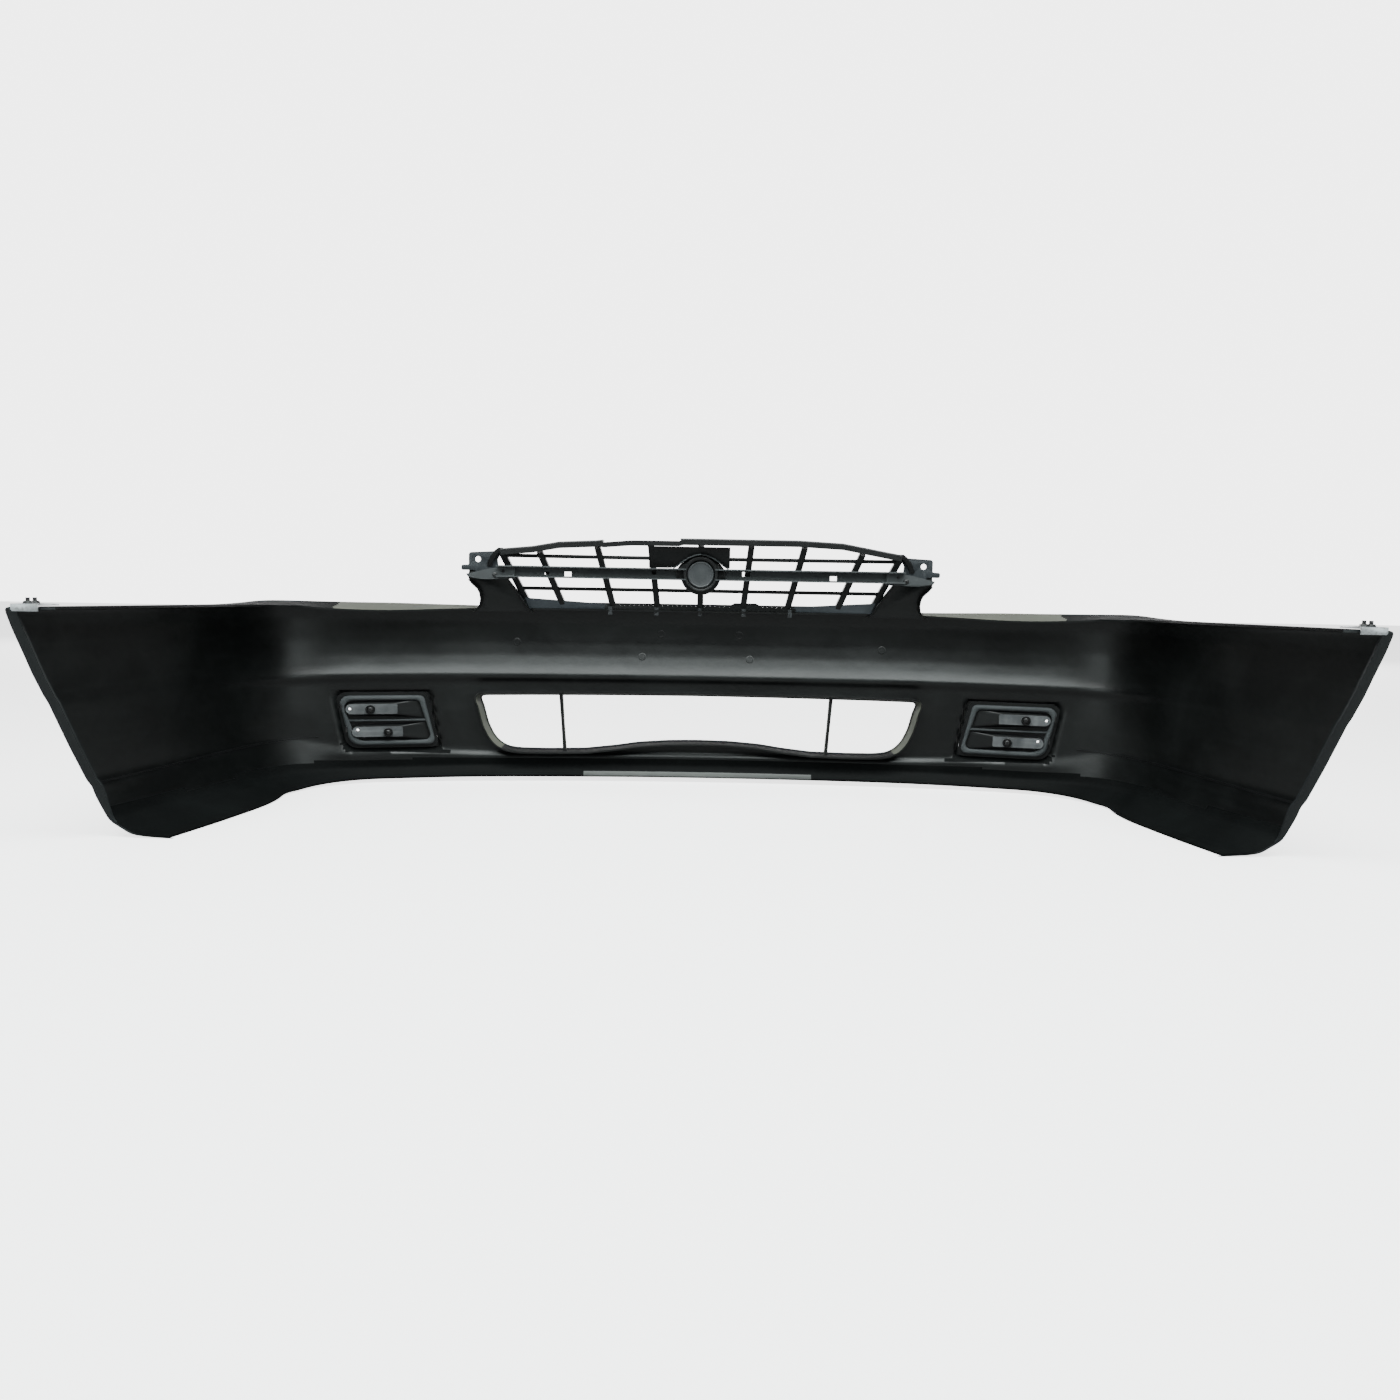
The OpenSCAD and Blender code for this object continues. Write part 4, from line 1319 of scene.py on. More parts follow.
class Pattern:
    """Small turned pieces that the fixings are copied from."""

    @staticmethod
    def turned(profile: Sequence[Point2], sides: int = 32) -> bmesh.types.BMesh:
        """A solid of revolution about Z.

        Args:
            profile: (radius, height) in millimetres, from the axis round to the axis.
            sides: number of faces round it.

        Returns:
            The solid as a bmesh.
        """
        bm = bmesh.new()
        rings = []
        for r, z in profile:
            if r < 1e-6:
                rings.append([bm.verts.new((0, 0, z))])
            else:
                rings.append([bm.verts.new((r * math.cos(2 * math.pi * k / sides),
                                            r * math.sin(2 * math.pi * k / sides), z)) for k in range(sides)])
        for a, b in zip(rings, rings[1:]):
            for k in range(sides):
                m = (k + 1) % sides
                corners = [a[k % len(a)], a[m % len(a)], b[m % len(b)], b[k % len(b)]]
                unique = list(dict.fromkeys(corners))
                if len(unique) > 2:
                    bm.faces.new(unique)
        bmesh.ops.recalc_face_normals(bm, faces=bm.faces)
        return bm

    @staticmethod
    def screw(shank: float, head: float, rise: float, length: float) -> bpy.types.Object:
        """A pan-head screw with a cross recess, head towards +Z, seat at zero."""
        shell = Shell()
        shell.take(Pattern.turned([(0, -length), (shank * 0.5, -length), (shank, -length + 1.2), (shank, 0),
                                   (head, 0), (head, rise * 0.35), (head * 0.86, rise * 0.78),
                                   (head * 0.55, rise), (0, rise)]))
        obj = shell.piece("screw_pattern", (Surface.COATED,))
        for turn in (0, 90):
            slot = Shell()
            c, s = math.cos(math.radians(turn)), math.sin(math.radians(turn))
            slot.beam((-head * 0.5 * c, -head * 0.5 * s, rise), (head * 0.5 * c, head * 0.5 * s, rise),
                      (head * 0.2, head * 0.2, rise * 0.9))
            Workbench.cut(obj, slot.piece("slot", (Surface.COATED,)))
        return obj

    @staticmethod
    def nut(flat: float, height: float, bore: float) -> bpy.types.Object:
        """A flanged hexagon nut with chamfered corners, sitting on zero."""
        bm = bmesh.new()
        rings = []
        for r, z in ((flat, 1.2), (flat, height - 0.6), (flat * 0.9, height)):
            rings.append([bm.verts.new((r * math.cos(math.pi * k / 3), r * math.sin(math.pi * k / 3), z))
                          for k in range(6)])
        hole = [[bm.verts.new((bore * math.cos(math.pi * k / 3), bore * math.sin(math.pi * k / 3), z))
                 for k in range(6)] for z in (height, 0.0)]
        foot = flat * 1.12
        wide = [[bm.verts.new((foot * math.cos(math.pi * k / 3), foot * math.sin(math.pi * k / 3), z))
                 for k in range(6)] for z in (0.0, 0.9)]
        order = [wide[0], wide[1], rings[0], rings[1], rings[2], hole[0], hole[1], wide[0]]
        for a, b in zip(order, order[1:]):
            for k in range(6):
                m = (k + 1) % 6
                bm.faces.new((a[k], a[m], b[m], b[k]))
        bmesh.ops.recalc_face_normals(bm, faces=bm.faces)
        shell = Shell()
        shell.take(bm)
        obj = shell.piece("nut_pattern", (Surface.COATED,))
        Workbench.soften(obj, 0.25, 20)
        return obj


# --------------------------------------------------------------------------- fog pockets
@dataclass
class FogPocket:
    """Where a fog-lamp blanking cover sits, and its outline."""

    x: float = 549.0
    z: float = 110.0
    half_w: float = 84.0
    half_h: float = 45.0
    turn: float = 14.0

    def outline(self, grow: float = 0.0) -> list[Point2]:
        """The cover's outline about its own middle, outboard towards +x."""
        w, h = self.half_w + grow, self.half_h + grow
        return (corner_arc((-w + 14.5, -h + 9), 9, 180, 270) + corner_arc((w - 34, -h + 22), 22, 270, 360)
                + corner_arc((w - 13.5, h - 15), 14, 0, 90) + corner_arc((-w + 31, h - 10), 9, 90, 180))


@dataclass
class FogCover:
    """A blanking cover: rounded frame, divider and two fanned trays with a screwed strip each."""

    side: int
    pocket: FogPocket = field(default_factory=FogPocket)
    frame_w: float = 8.0
    rise: float = 5.0
    bosses: tuple[Point2, ...] = ((32, 20), (2, -21))
    holes: tuple[Point2, ...] = ((67, 20.5), (54, -17))

    def place(self, x: float, z: float, c: float) -> Point3:
        """From the cover's own frame (outboard, up, towards the inside) to the car's."""
        a = math.radians(self.pocket.turn)
        base = FORM.skin_y(self.pocket.x, self.pocket.z) + FORM.wall + 4
        return (self.side * (self.pocket.x + x * math.cos(a) - c * math.sin(a)),
                base + x * math.sin(a) + c * math.cos(a), self.pocket.z + z)

    def turned(self) -> Euler:
        """The turn that points a fixing's +Z towards the inside of the car."""
        a = math.radians(self.pocket.turn) * self.side
        m = Matrix.Rotation(a, 3, "Z") @ Matrix.Rotation(math.radians(-90), 3, "X")
        return m.to_euler()

    def loft(self, shell: Shell, loops: Sequence[tuple[Sequence[Point2], float]], n: int, ease: int,
             mark: int, cap_mark: int | None) -> None:
        """Skins a run of outlines at rising depths and closes the last.

        Args:
            shell: where the faces go.
            loops: (outline, depth towards the inside) pairs.
            n: points round each outline.
            ease: how much the corners are eased.
            mark: material index of the sides.
            cap_mark: material index of the cap, or None for no cap.
        """
        rows = [[self.place(x, z, c) for x, z in rounded(loop, n, ease)] for loop, c in loops]
        shell.grid(np.array(rows), closed=True, mark=mark)
        if cap_mark is not None:
            shell.cap(rows[-1], cap_mark)

    def build(self) -> bpy.types.Object:
        """Builds, dresses and places the cover with its screws."""
        side = "left" if self.side > 0 else "right"
        p, w, r = self.pocket, self.frame_w, self.rise
        shell = Shell()
        crown = [(-0.5 - w / 2 + w / 2 * math.cos(math.radians(q)), r - 3.2 + 3.2 * math.sin(math.radians(q)))
                 for q in (25, 50, 75, 100, 125, 150)]
        bead = [(-0.5, -4.0), (-0.5, r - 3.2), *crown, (-w - 0.5, r - 3.2), (-w - 0.5, -2.6)]
        self.loft(shell, [(p.outline(o), c) for o, c in bead], 120, 1, 1, None)
        self.loft(shell, [(p.outline(-w - 0.5), -2.6), (p.outline(-w - 0.55), -2.61)], 120, 1, 0, 0)
        self.loft(shell, [(p.outline(-0.5), -4.0), (p.outline(5.0), -4.0), (p.outline(5.0), -5.6),
                          (p.outline(-0.55), -5.61)], 120, 1, 0, 0)
        # two fanned trays, each with a flat strip at its outboard end
        for zc, x0, x1, top in ((20.5, -14, 74, True), (-20.0, -23, 64, False)):
            lo, hi = zc - 18.5, zc + 17.5
            left = -58 if top else -70
            base = [(left, lo + 1.5), (-30, lo + 3), (x1 - 16, zc - 12.5), (x1 - 2, zc - 10), (x1 + 3, zc),
                    (x1 - 2, zc + 10), (x1 - 16, zc + 12.5), (-30, hi - 3), (left + 5, hi - 1.5)]
            strip = ([(x0, zc - 9), (x1 - 9, zc - 9)] + corner_arc((x1 - 9, zc), 9, -90, 90)[1:-1]
                     + [(x1 - 9, zc + 9), (x0, zc + 9)])
            fan = [(base, -2.7), (base, -2.2), (grown(strip, 0.8), 6.2), (strip, 7.0)]
            self.loft(shell, fan, 96, 1, 0, 2)
        # divider
        a, b = self.place(-66, 0, 0.6), self.place(73, 0, 0.6)
        shell.beam(a, b, (1.2, 6.0, 2.4), 1)
        # the bead and the divider take the lighter grey: a painted highlight along their rims
        body = shell.piece(f"fog_cover_{side}", (Surface.COVER, Surface.FRAME, Surface.STRIP))
        for hx, hz in self.holes:
            bore = Shell()
            m = self.turned().to_matrix()
            bore.take(Pattern.turned([(0, -14), (2.7, -14), (2.7, 14), (0, 14)], 28))
            bore.points = [tuple(m @ Vector(q) + Vector(self.place(hx, hz, 0))) for q in bore.points]
            Workbench.cut(body, bore.piece("cutter", (Surface.STRIP,)))
        Workbench.smooth(body, 32)
        rings = Shell()
        ring = [(0, -2), (8, -2), (8, 3.4), (7.2, 4.2), (5.6, 4.2), (5.0, 2.2), (0, 2.2)]
        for bx, bz in self.bosses:
            rings.take(Pattern.turned(ring, 36))
            last = len(rings.points)
            m = self.turned().to_matrix()
            count = 7 * 36 - 2 * 35
            for k in range(last - count, last):
                q = m @ Vector(rings.points[k]) + Vector(self.place(bx, bz, 7.0))
                rings.points[k] = tuple(q)
        ring_piece = rings.piece(f"fog_boss_{side}", (Surface.BLACK,))
        Workbench.smooth(ring_piece, 40)
        body = join_pieces(f"fog_cover_{side}", [body, ring_piece])
        Workbench.settle_on_body(body, "cover_plastic", (f"fog_cover_{side}",))
        turn = tuple(self.turned())
        screws = REPEAT.copies(f"fog_cover_screws_{side}", Pattern.screw(2.6, 4.6, 2.2, 9),
                               [self.place(x, z, 9.3) for x, z in self.bosses], [turn] * len(self.bosses),
                               Surface.COATED)
        Workbench.smooth(screws, 40)
        Workbench.settle_on_body(screws, "dark_steel", (f"fog_cover_screws_{side}",))
        return body


# --------------------------------------------------------------------------- the grille
@dataclass
class Grille:
    """Slats, thin bars, top rail, crossbar, backing panel and emblem blank."""

    tops: tuple[float, ...] = (0, 88, 181, 281)
    feet: tuple[float, ...] = (0, 77, 156, 244)
    slat_w: float = 10.8
    slat_d: float = 15.0
    bar_lo: float = 366.0
    bar_hi: float = 386.0
    crown: float = 438.0
    emblem_r: float = 30.0

    def rail_z(self, x: float) -> float:
        """Height of the top rail's crest."""
        a = abs(x)
        sag = 5.0 * min(1.0, max(0.0, (x - 120) / 60)) * min(1.0, max(0.0, (350 - x) / 60))
        if a < 170:
            drop = 0.5 * a / 170
        elif a < 245:
            drop = 0.5 + 4 * (a - 170) / 75
        else:
            drop = 4.5 + 18.5 * (a - 245) / 100
        return self.crown - drop - sag

    def lattice(self) -> bpy.types.Object:
        """Upright slats, side stiles and the thin cross bars."""
        y = FORM.grille_y
        slats, thin = [], []
        for side in (-1, 1):
            for k, (top, foot) in enumerate(zip(self.tops, self.feet)):
                if k == 0 and side < 0:
                    continue
                z = self.rail_z(side * top) - 11
                slats.append(((side * foot, y(foot, 318) - self.slat_d / 2, 317.5),
                              (side * top, y(top, z) - self.slat_d / 2, z)))
            slats.append(((side * 304, y(304, 318) - 8, 317.5), (side * 345, y(345, 408) - 8, 408)))
            for z in (347.5, 403.5):
                end = 304 + 40 * (z - 318) / 90
                n = 10
                for k in range(n):
                    xa, xb = end * k / n, end * (k + 1) / n + 0.4
                    thin.append(((side * xa, y(xa, z) - 6, z), (side * xb, y(xb, z) - 6, z)))
        bars = REPEAT.bars("grille_slats", slats, self.slat_w, self.slat_d, 1.6, Surface.GRILLE)
        rods = REPEAT.bars("grille_rods", thin, 6.4, 9.0, 1.5, Surface.GRILLE)
        sill = Shell()
        n = 40
        for k in range(n):
            xa, xb = -304 + 608 * k / n, -304 + 608 * (k + 1) / n
            sill.beam((xa, y(xa, 322) - 7, 322), (xb, y(xb, 322) - 7, 322), (0.6, 12, 3.4))
        for k in range(n):
            xa, xb = -170 + 340 * k / n, -170 + 340 * (k + 1) / n
            sill.beam((xa, y(xa, 322) - 2, 317), (xb, y(xb, 322) - 2, 316), (0.6, 2.4, 8.0))
        for side in (-1, 1):
            wedge = [(303, 309.5), (311, 331), (240, 326.5), (169, 322), (164, 318), (164, 310.5), (204, 309)]
            rows = np.array([[(side * x, y(x, z) - 1 + d, z) for x, z in wedge] for d in (-1.2, 1.2)])
            sill.grid(rows, closed=True, mark=1)
            sill.cap(rows[0], 1)
            sill.cap(rows[1], 1)
        foot = sill.piece("grille_foot", (Surface.GRILLE, Surface.LEDGE))
        for piece in (bars, rods, foot):
            Workbench.smooth(piece, 35)
        lattice = join_pieces("grille_lattice", [bars, rods, foot])
        Workbench.settle_on_body(lattice, "grille_plastic", ("grille_lattice",))
        return lattice

    def swept(self, shell: Shell, section: Sequence[Point2], lo: float, hi: float, n: int,
              height: Callable[[float], float], mark: int = 0, lean: float | None = None) -> None:
        """Sweeps a closed section (back, up) along the grille's curve.

        Args:
            shell: where the faces go.
            section: (towards the inside, up) offsets.
            lo: first x.
            hi: last x.
            n: number of steps.
            height: z of the section's origin at an x.
            mark: material index.
            lean: fixed height for the grille plane, or None to follow the section's own.
        """
        rows = []
        for k in range(n + 1):
            x = lo + (hi - lo) * k / n
            z = height(x)
            y = FORM.grille_y(x, z if lean is None else lean)
            rows.append([(x, y + b, z + u) for b, u in section])
        shell.grid(np.array(rows), closed=True, mark=mark)
        shell.cap(rows[0], mark)
        shell.cap(rows[-1], mark)

    def top_rail(self) -> bpy.types.Object:
        """The arched rail: dark upper flange and turned-down lip, notched at one side."""
        shell = Shell()
        cap = [(-21, -2.6), (-20, -0.4), (-18, 0), (7, 0), (9, -0.6), (9.6, -2.4), (8, -3), (-20, -3)]
        lip = [(6.6, -2.6), (9.6, -2.6), (9.8, -11), (9.2, -11.6), (7.2, -11.6), (6.6, -11)]
        flat = [(-21, -2.6), (-20, -0.4), (-18, 0), (-2, 0), (-1, -0.6), (-0.6, -2.4), (-1, -3), (-20, -3)]
        self.swept(shell, cap, -345, 36, 60, self.rail_z)
        self.swept(shell, cap, 170, 345, 30, self.rail_z)
        self.swept(shell, flat, 36, 170, 14, lambda x: self.rail_z(x) - 4.2)
        self.swept(shell, lip, -345, 345, 90, lambda x: self.rail_z(x) - (0.0 if not 36 < x < 170 else 2.2))
        # end sweeps that curl down to the brackets
        for side in (-1, 1):
            pts = [(345, 414), (352, 409), (358, 402), (363, 394), (366, 386)]
            for a, b in zip(pts, pts[1:]):
                shell.beam((side * a[0], FORM.grille_y(345, a[1]) + 1, a[1]),
                           (side * b[0], FORM.grille_y(345, b[1]) + 1, b[1]), (7, 10, 4))
        rail = shell.piece("grille_top_rail", (Surface.BLACK,))
        Workbench.smooth(rail, 35)
        Workbench.settle_on_body(rail, "grille_plastic", ("grille_top_rail",))
        return rail

    def crossbar(self) -> bpy.types.Object:
        """The channel across the grille with ribs, windows and the emblem seat."""
        zc = (self.bar_lo + self.bar_hi) / 2
        h = (self.bar_hi - self.bar_lo) / 2
        section = [(5.5, -h), (5.5, h), (24, h), (24, h - 2.4),
                   (8.4, h - 2.4), (8.4, -h + 2.4), (24, -h + 2.4), (24, -h)]
        shell = Shell()
        self.swept(shell, section, -352, 352, 90, lambda x: zc)
        half = (34, 46, 182, 212, 262, 280, 292, 318, 330)
        for x in (*(-x for x in reversed(half)), *half):
            y = FORM.grille_y(x, zc)
            shell.beam((x, y + 14, zc - h + 1), (x, y + 14, zc + h - 1), (2.0, 13, 0.6))
        pad = FORM.grille_y(372, 368) + 2
        for side in (-1, 1):
            tip = [(322, 363), (378, 361.5), (402, 365.5), (405, 370.5),
                   (371, 379), (340, 384.5), (322, 385.5)]
            rows = np.array([[(side * x, max(pad + 5.0, FORM.grille_y(x, 372) + 5.0) + d, z) for x, z in tip]
                             for d in (0, 2.6)])
            shell.grid(rows, closed=True)
            shell.cap(rows[0])
            shell.cap(rows[1])
        bar = shell.piece("grille_crossbar", (Surface.BAR,))
        cuts = Shell()
        for x, w, up, dz in ((-232, 12, -3, 8), (232, 12, -3, 8), (268, 8, -2, 5), (-80, 14, 2, 8)):
            y = FORM.grille_y(x, zc)
            cuts.beam((x, y, zc + up), (x, y + 14, zc + up), (w, 14, dz))
        Workbench.cut(bar, cuts.piece("cutter", (Surface.BAR,)))
        for x, r, up in ((82, 4.4, 3), (342, 2.8, 0), (-342, 2.8, 0), (0, self.emblem_r - 3, 0)):
            y = FORM.grille_y(x, zc)
            loop = corner_arc((x, zc + up), r, 0, 360, 48)[:-1]
            Workbench.cut(bar, outline_prism(loop, y - 10, y + 34).piece("cutter", (Surface.BAR,)))
        Workbench.smooth(bar, 30)
        seat = Shell()
        y = FORM.grille_y(0, zc)
        rows = []
        for r, d in ((27, 5.0), (35, 5.0), (35.5, 6), (35, 11), (33, 12), (27, 12), (27, 5.0)):
            loop = []
            for x, z in corner_arc((0, 0), 1, 0, 360, 64)[:-1]:
                wide = 1.0 + (0.3 if r > 30 and z > -0.2 else 0.0) * max(0.0, abs(x) - 0.6) * 2
                loop.append((x * r * wide, y + d, zc + z * r))
            rows.append(loop)
        seat.grid(np.array(rows), closed=True)
        ring = seat.piece("emblem_seat", (Surface.BLACK,))
        Workbench.smooth(ring, 35)
        bar = join_pieces("grille_crossbar", [bar, ring])
        Workbench.settle_on_body(bar, "crossbar_plastic", ("grille_crossbar",))
        return bar

    def backing(self) -> bpy.types.Object:
        """The black panel behind the emblem, with the eye-shaped rib round the ring."""
        y = FORM.grille_y
        edge = [(-51, 388), (-46, 387), (-40, 391), (-33, 397), (-22, 404), (-10, 409), (0, 411), (10, 409),
                (22, 404), (33, 397), (42, 391), (52, 387), (91, 387), (91, 424), (-51, 424)]
        shell = Shell()
        rows = np.array([[(x, y(0, z) + d, z) for x, z in edge] for d in (2.0, 4.4)])
        shell.grid(rows, closed=True)
        shell.cap(rows[0])
        shell.cap(rows[1])
        left = [(-48, 387), (-41, 391), (-33, 397.5), (-22, 404.5), (-10, 409.5)]
        arch = [*left, (0, 411), *((-x, z) for x, z in reversed(left))]
        for a, b in zip(arch, arch[1:]):
            shell.beam((a[0], y(0, a[1]) + 7.4, a[1]), (b[0], y(0, b[1]) + 7.4, b[1]), (1.6, 7, 1.8), 1)
        panel = shell.piece("emblem_backing_panel", (Surface.BLACK, Surface.BAR))
        Workbench.smooth(panel, 30)
        Workbench.settle_on_body(panel, "black_plastic", ("emblem_backing_panel",))
        return panel

    def emblem(self) -> None:
        """The bezel ring and the plain disc inside it."""
        zc = (self.bar_lo + self.bar_hi) / 2
        seat = Vector((0, FORM.grille_y(0, zc) + 12, zc))
        turn = Matrix.Rotation(math.radians(-90), 3, "X")
        r = self.emblem_r
        for name, surface, slot, profile in (
                ("emblem_bezel", Surface.BLACK, "black_plastic",
                 [(r - 6.3, -8), (r - 3.5, -8), (r - 3.5, 3.2), (r + 1, 3.2), (r + 1, 9), (r - 0.6, 10.8),
                  (r - 2.6, 11), (r - 4.6, 10.2), (r - 6.3, 7), (r - 6.3, -8)]),
                ("emblem_blank", Surface.EMBLEM, "emblem_plastic",
                 [(0, -10.6), (r - 4.6, -10.6), (r - 4.6, -8.4), (r - 6.7, -8.4), (r - 6.7, 6.4),
                  (r - 7.6, 7.6), (r - 9, 8), (r - 10, 7.4), (r - 11, 7.2), (10, 7.7), (0, 7.9)])):
            shell = Shell()
            shell.take(Pattern.turned(profile, 72))
            shell.points = [tuple(turn @ Vector(p) + seat) for p in shell.points]
            piece = shell.piece(name, (surface,))
            Workbench.smooth(piece, 32)
            Workbench.settle_on_body(piece, slot, (name,))

    def build(self) -> None:
        """Builds the whole grille."""
        self.lattice()
        self.top_rail()
        self.crossbar()
        self.backing()
        self.emblem()


# --------------------------------------------------------------------------- brackets and fixings
@dataclass
class UpperBracket:
    """The pale tab beside the grille that bolts to the car."""

    side: int
    hole: Point2 = (386, 396)
    hole_r: float = 5.0

    def build(self) -> bpy.types.Object:
        """Builds and places one bracket."""
        name = "left" if self.side > 0 else "right"
        pad = FORM.grille_y(372, 368) + 2
        edge = [(349, 364), (390, 364), (391, 366), (391, 375), (392, 376.5), (400, 377), (413, 377),
                (415, 379), (415, 384), (413, 386), (403, 386.5), (402, 388), (402, 404), (400.5, 407),
                (398, 408), (346, 411), (349, 402), (352, 396)]
        shell = Shell()
        rows = np.array([[(self.side * x, pad + d, z) for x, z in edge] for d in (1.8, 4.8)])
        shell.grid(rows, closed=True)
        shell.cap(rows[0])
        shell.cap(rows[1])
        tab = shell.piece(f"grille_bracket_{name}", (Surface.BRACKET,))
        for (x, z), r in ((self.hole, self.hole_r), ((356, 369), 2.7)):
            loop = corner_arc((self.side * x, z), r, 0, 360, 40)[:-1]
            Workbench.cut(tab, outline_prism(loop, pad - 4, pad + 12).piece("cutter", (Surface.BRACKET,)))
        Workbench.soften(tab, 0.5, 50)
        Workbench.smooth(tab, 35)
        Workbench.settle_on_body(tab, "bracket_plastic", (f"grille_bracket_{name}",))
        return tab


@dataclass
class WingTip:
    """The plated retainer at a wing's top corner, with its two studs and nuts."""

    side: int
    x: float = 824.0
    y: float = 301.0
    z: float = 316.6
    gap: float = 14.0

    def build(self) -> None:
        """Builds the plate and the nuts; the studs stay as they are in the frame."""
        name = "left" if self.side > 0 else "right"
        s = self.side
        shell = Shell()
        outline = [(-22, -20), (9, -20), (11, -18), (11, 22), (-22, 22)]
        rows = np.array([[(s * (self.x + a), self.y + b, self.z + c) for a, b in outline] for c in (0, 2.2)])
        shell.grid(rows, closed=True)
        shell.cap(rows[0])
        shell.cap(rows[1])
        lip = [(-22, -7), (9, -7), (11, -5), (11, 2.2), (-22, 2.2)]
        rows = np.array([[(s * (self.x + a), self.y + d, self.z + c) for a, c in lip] for d in (21.9, 24.0)])
        shell.grid(rows, closed=True)
        shell.cap(rows[0])
        shell.cap(rows[1])
        plate = shell.piece(f"wing_bracket_{name}", (Surface.ZINC,), merge=0.001)
        for dy in (-self.gap / 2, self.gap / 2):
            hole = Shell()
            hole.take(Pattern.turned([(0, -6), (3.3, -6), (3.3, 8), (0, 8)], 28))
            hole.points = [(p[0] + s * self.x, p[1] + self.y + dy, p[2] + self.z) for p in hole.points]
            Workbench.cut(plate, hole.piece("cutter", (Surface.ZINC,)))
        Workbench.soften(plate, 0.45, 50)
        Workbench.smooth(plate, 35)
        Workbench.settle_on_body(plate, "zinc_steel", (f"wing_bracket_{name}",))
        places = [(s * self.x, self.y + dy, self.z + 2.3) for dy in (-self.gap / 2, self.gap / 2)]
        nuts = REPEAT.copies(f"wing_stud_nuts_{name}", Pattern.nut(5.4, 3.1, 3.05), places,
                             [(0, 0, 0.3), (0, 0, 0.9)], Surface.COATED)
        Workbench.smooth(nuts, 30)
        Workbench.settle_on_body(nuts, "dark_steel", (f"wing_stud_nuts_{name}",))


@dataclass
class GrilleFixings:
    """The screws that hold the brackets and the crossbar."""

    def build(self) -> None:
        """Places both sets of screws."""
        back = tuple(Matrix.Rotation(math.radians(-90), 3, "X").to_euler())
        pad = FORM.grille_y(372, 368) + 2
        places = [(s * x, pad + 7.65, 369) for s in (-1, 1) for x in (356, 392)]
        screws = REPEAT.copies("grille_bracket_screws", Pattern.screw(2.5, 5, 2.8, 5.7), places, [back] * 4,
                               Surface.COATED)
        Workbench.smooth(screws, 40)
        Workbench.settle_on_body(screws, "dark_steel", ("grille_bracket_screws",))
        places = [(s * 342, FORM.grille_y(342, 376) + 8.7, 376) for s in (-1, 1)]
        screws = REPEAT.copies("crossbar_screws", Pattern.screw(2.4, 5, 2.8, 3.2), places, [back] * 2,
                               Surface.COATED)
        Workbench.smooth(screws, 40)
        Workbench.settle_on_body(screws, "dark_steel", ("crossbar_screws",))


@dataclass
class InnerMarks:
    """Ejector-pin discs that the mould left on the inner face."""

    spots: tuple[Point2, ...] = ((70, 268), (-72, 268), (104, 226), (-92, 224), (330, 250), (-330, 246))
    radius: float = 7.0

    def build(self) -> bpy.types.Object:
        """Places the thin raised discs."""
        shell = Shell()
        r = self.radius
        rim = [(0, -1.2), (r, -1.2), (r, 0.15), (r - 0.5, 0.35), (r - 1.6, 0.35), (r - 2.0, 0.1), (0, 0.1)]
        shell.take(Pattern.turned(rim, 36))
        disc = shell.piece("disc_pattern", (Surface.SKIN,))
        places, turns = [], []
        for x, z in self.spots:
            dx = (FORM.skin_y(x + 5, z) - FORM.skin_y(x - 5, z)) / 10
            dz = (FORM.skin_y(x, z + 5) - FORM.skin_y(x, z - 5)) / 10
            out = Vector((-dx, 1.0, -dz)).normalized()
            y = FORM.skin_y(x, z) + out.y * FORM.wall + 0.3
            places.append((x + out.x * FORM.wall, y, z + out.z * FORM.wall))
            turns.append(tuple(out.to_track_quat("Z", "Y").to_euler()))
        marks = REPEAT.copies("fascia_ejector_marks", disc, places, turns, Surface.SKIN)
        Workbench.smooth(marks, 30)
        Workbench.settle_on_body(marks, "fascia_plastic")
        return marks


# --------------------------------------------------------------------------- kept CAD nodes
KEPT_NODES: dict[str, Surface] = {
    "grille_sill_clips": Surface.SPRING,
    "fog_cover_clips_left": Surface.COATED,
    "fog_cover_clips_right": Surface.COATED,
    "wing_studs_left": Surface.COATED,
    "wing_studs_right": Surface.COATED,
}


def dress_kept_nodes() -> None:
    """Gives every CAD node that stays visible its finish."""
    for name, surface in KEPT_NODES.items():
        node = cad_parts[name]
        for slot in node.material_slots:
            slot.material = PAINT.get(surface)
        if not node.material_slots:
            node.data.materials.append(PAINT.get(surface))
        LOG.info("%s: dressed as %s", name, surface.value)


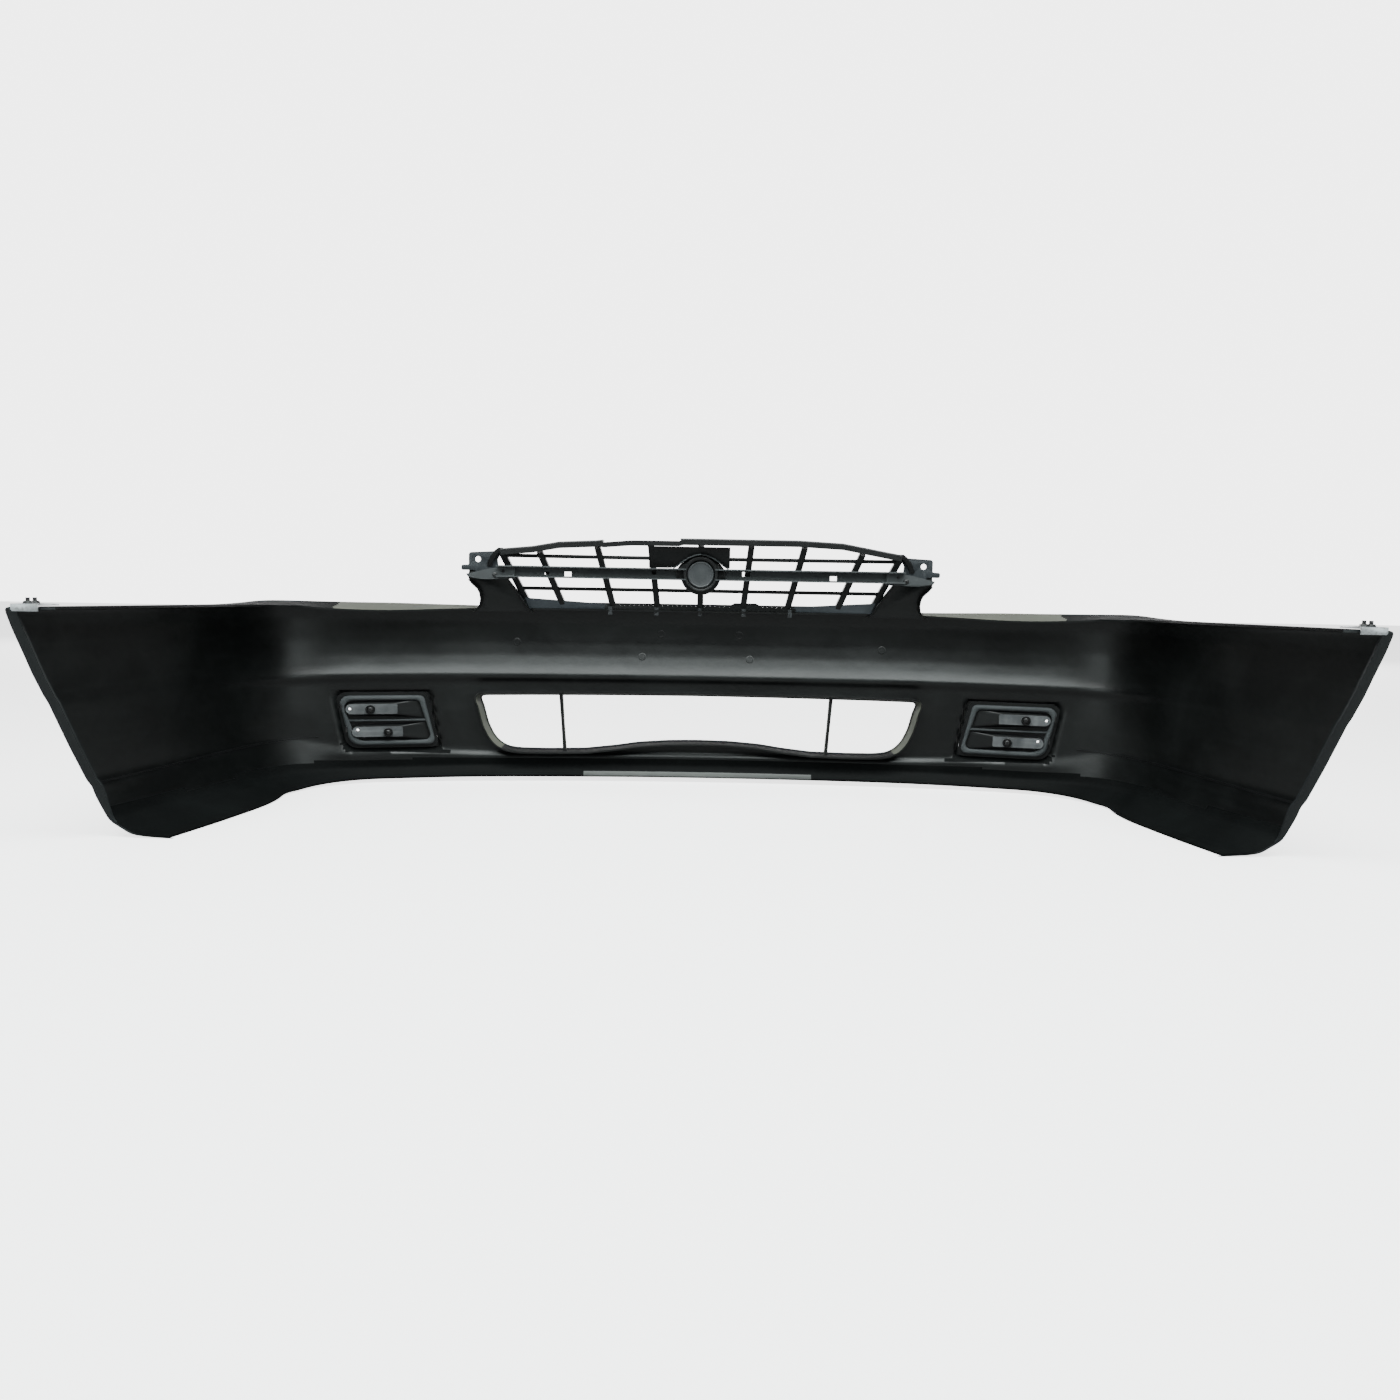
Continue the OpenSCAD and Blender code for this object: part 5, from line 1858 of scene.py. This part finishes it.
# --------------------------------------------------------------------------- studio
@dataclass
class Studio:
    """Floor, lights and camera."""

    eye: Point3 = (0.0, 1.600, 0.350)
    pitch_deg: float = 6.0
    roll_deg: float = 1.0
    yaw_deg: float = 0.08
    lens_mm: float = 27.0

    def camera(self) -> None:
        """Sets the camera behind the cover, a little above its top edge."""
        data = bpy.data.cameras.new("studio_camera")
        data.lens = self.lens_mm
        data.sensor_width = 36.0
        data.clip_end = 60.0
        cam = bpy.data.objects.new("studio_camera", data)
        bpy.context.scene.collection.objects.link(cam)
        turns = ((180 - self.yaw_deg, "Z"), (90 - self.pitch_deg, "X"), (self.roll_deg, "Z"))
        yaw, pitch, roll = (Matrix.Rotation(math.radians(angle), 4, axis) for angle, axis in turns)
        cam.matrix_world = Matrix.Translation(self.eye) @ (yaw @ pitch) @ roll
        bpy.context.scene.camera = cam

    @staticmethod
    def light(name: str, at: Point3, aim: Point3, size: Point2, watts: float,
              colour: tuple[float, float, float] = (1.0, 1.0, 1.0)) -> None:
        """Adds one soft rectangular light that the camera doesn't see."""
        data = bpy.data.lights.new(name, "AREA")
        data.shape = "RECTANGLE"
        data.size, data.size_y = size
        data.energy = watts
        data.color = colour
        obj = bpy.data.objects.new(name, data)
        obj.location = at
        obj.visible_camera = False
        obj.rotation_mode = "QUATERNION"
        obj.rotation_quaternion = (Vector(aim) - Vector(at)).to_track_quat("-Z", "Y")
        bpy.context.scene.collection.objects.link(obj)

    def floor(self) -> None:
        """Lays the pale floor."""
        mesh = bpy.data.meshes.new("studio_floor")
        e = 14.0
        mesh.from_pydata([(-e, -e, 0), (e, -e, 0), (e, e, 0), (-e, e, 0)], [], [(0, 1, 2, 3)])
        obj = bpy.data.objects.new("studio_floor", mesh)
        obj.location.z = -0.0005
        bpy.context.scene.collection.objects.link(obj)
        mesh.materials.append(PAINT.get(Surface.FLOOR))

    def backdrop(self) -> None:
        """A pale backdrop that lights the cover only a little."""
        world = bpy.data.worlds.new("studio_world")
        world.use_nodes = True
        t = Tree(world.node_tree)
        out = world.node_tree.nodes["World Output"]
        seen = world.node_tree.nodes["Background"]
        seen.inputs["Color"].default_value = (1.0, 1.0, 1.0, 1.0)
        seen.inputs["Strength"].default_value = 4.5
        fill = t.add("ShaderNodeBackground")
        fill.inputs["Color"].default_value = (0.95, 0.98, 1.0, 1.0)
        fill.inputs["Strength"].default_value = 0.12
        ray = t.add("ShaderNodeLightPath")
        mix = t.add("ShaderNodeMixShader")
        t.join(ray.outputs["Is Camera Ray"], mix.inputs[0])
        t.join(fill.outputs["Background"], mix.inputs[1])
        t.join(seen.outputs["Background"], mix.inputs[2])
        t.join(mix.outputs["Shader"], out.inputs["Surface"])
        bpy.context.scene.world = world

    def build(self) -> None:
        """Sets up the whole studio."""
        self.camera()
        self.floor()
        self.backdrop()
        cool = (0.9, 1.0, 0.99)
        self.light("top_softbox", (0.0, 0.9, 2.3), (0.0, -0.3, 0.2), (3.4, 1.0), 150.0, (0.95, 1.0, 0.99))
        self.light("high_back_softbox", (0.0, 2.5, 2.2), (0.0, -0.3, 0.25), (2.4, 0.7), 50.0, cool)
        for side in (-1, 1):
            name = f"side_softbox_{'left' if side > 0 else 'right'}"
            self.light(name, (side * 2.3, 1.9, 0.75), (-side * 0.6, -0.2, 0.2), (1.0, 1.1), 13.0, cool)
        self.light("street_softbox", (0.0, -4.5, 1.3), (0.0, 0.0, 0.4), (7.0, 2.2), 260.0)


def main() -> None:
    """Builds every piece in order and reports it."""
    logging.basicConfig(level=logging.INFO, format="%(name)s %(message)s")
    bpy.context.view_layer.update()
    Fascia(FORM).build()
    InnerMarks().build()
    Grille().build()
    for side in (1, -1):
        FogCover(side).build()
        UpperBracket(side).build()
        WingTip(side).build()
    GrilleFixings().build()
    dress_kept_nodes()
    Studio().build()
    for tree in (REPEAT.bar_tree, REPEAT.copy_tree):
        bpy.data.node_groups.remove(tree)


if __name__ == "__main__":
    main()
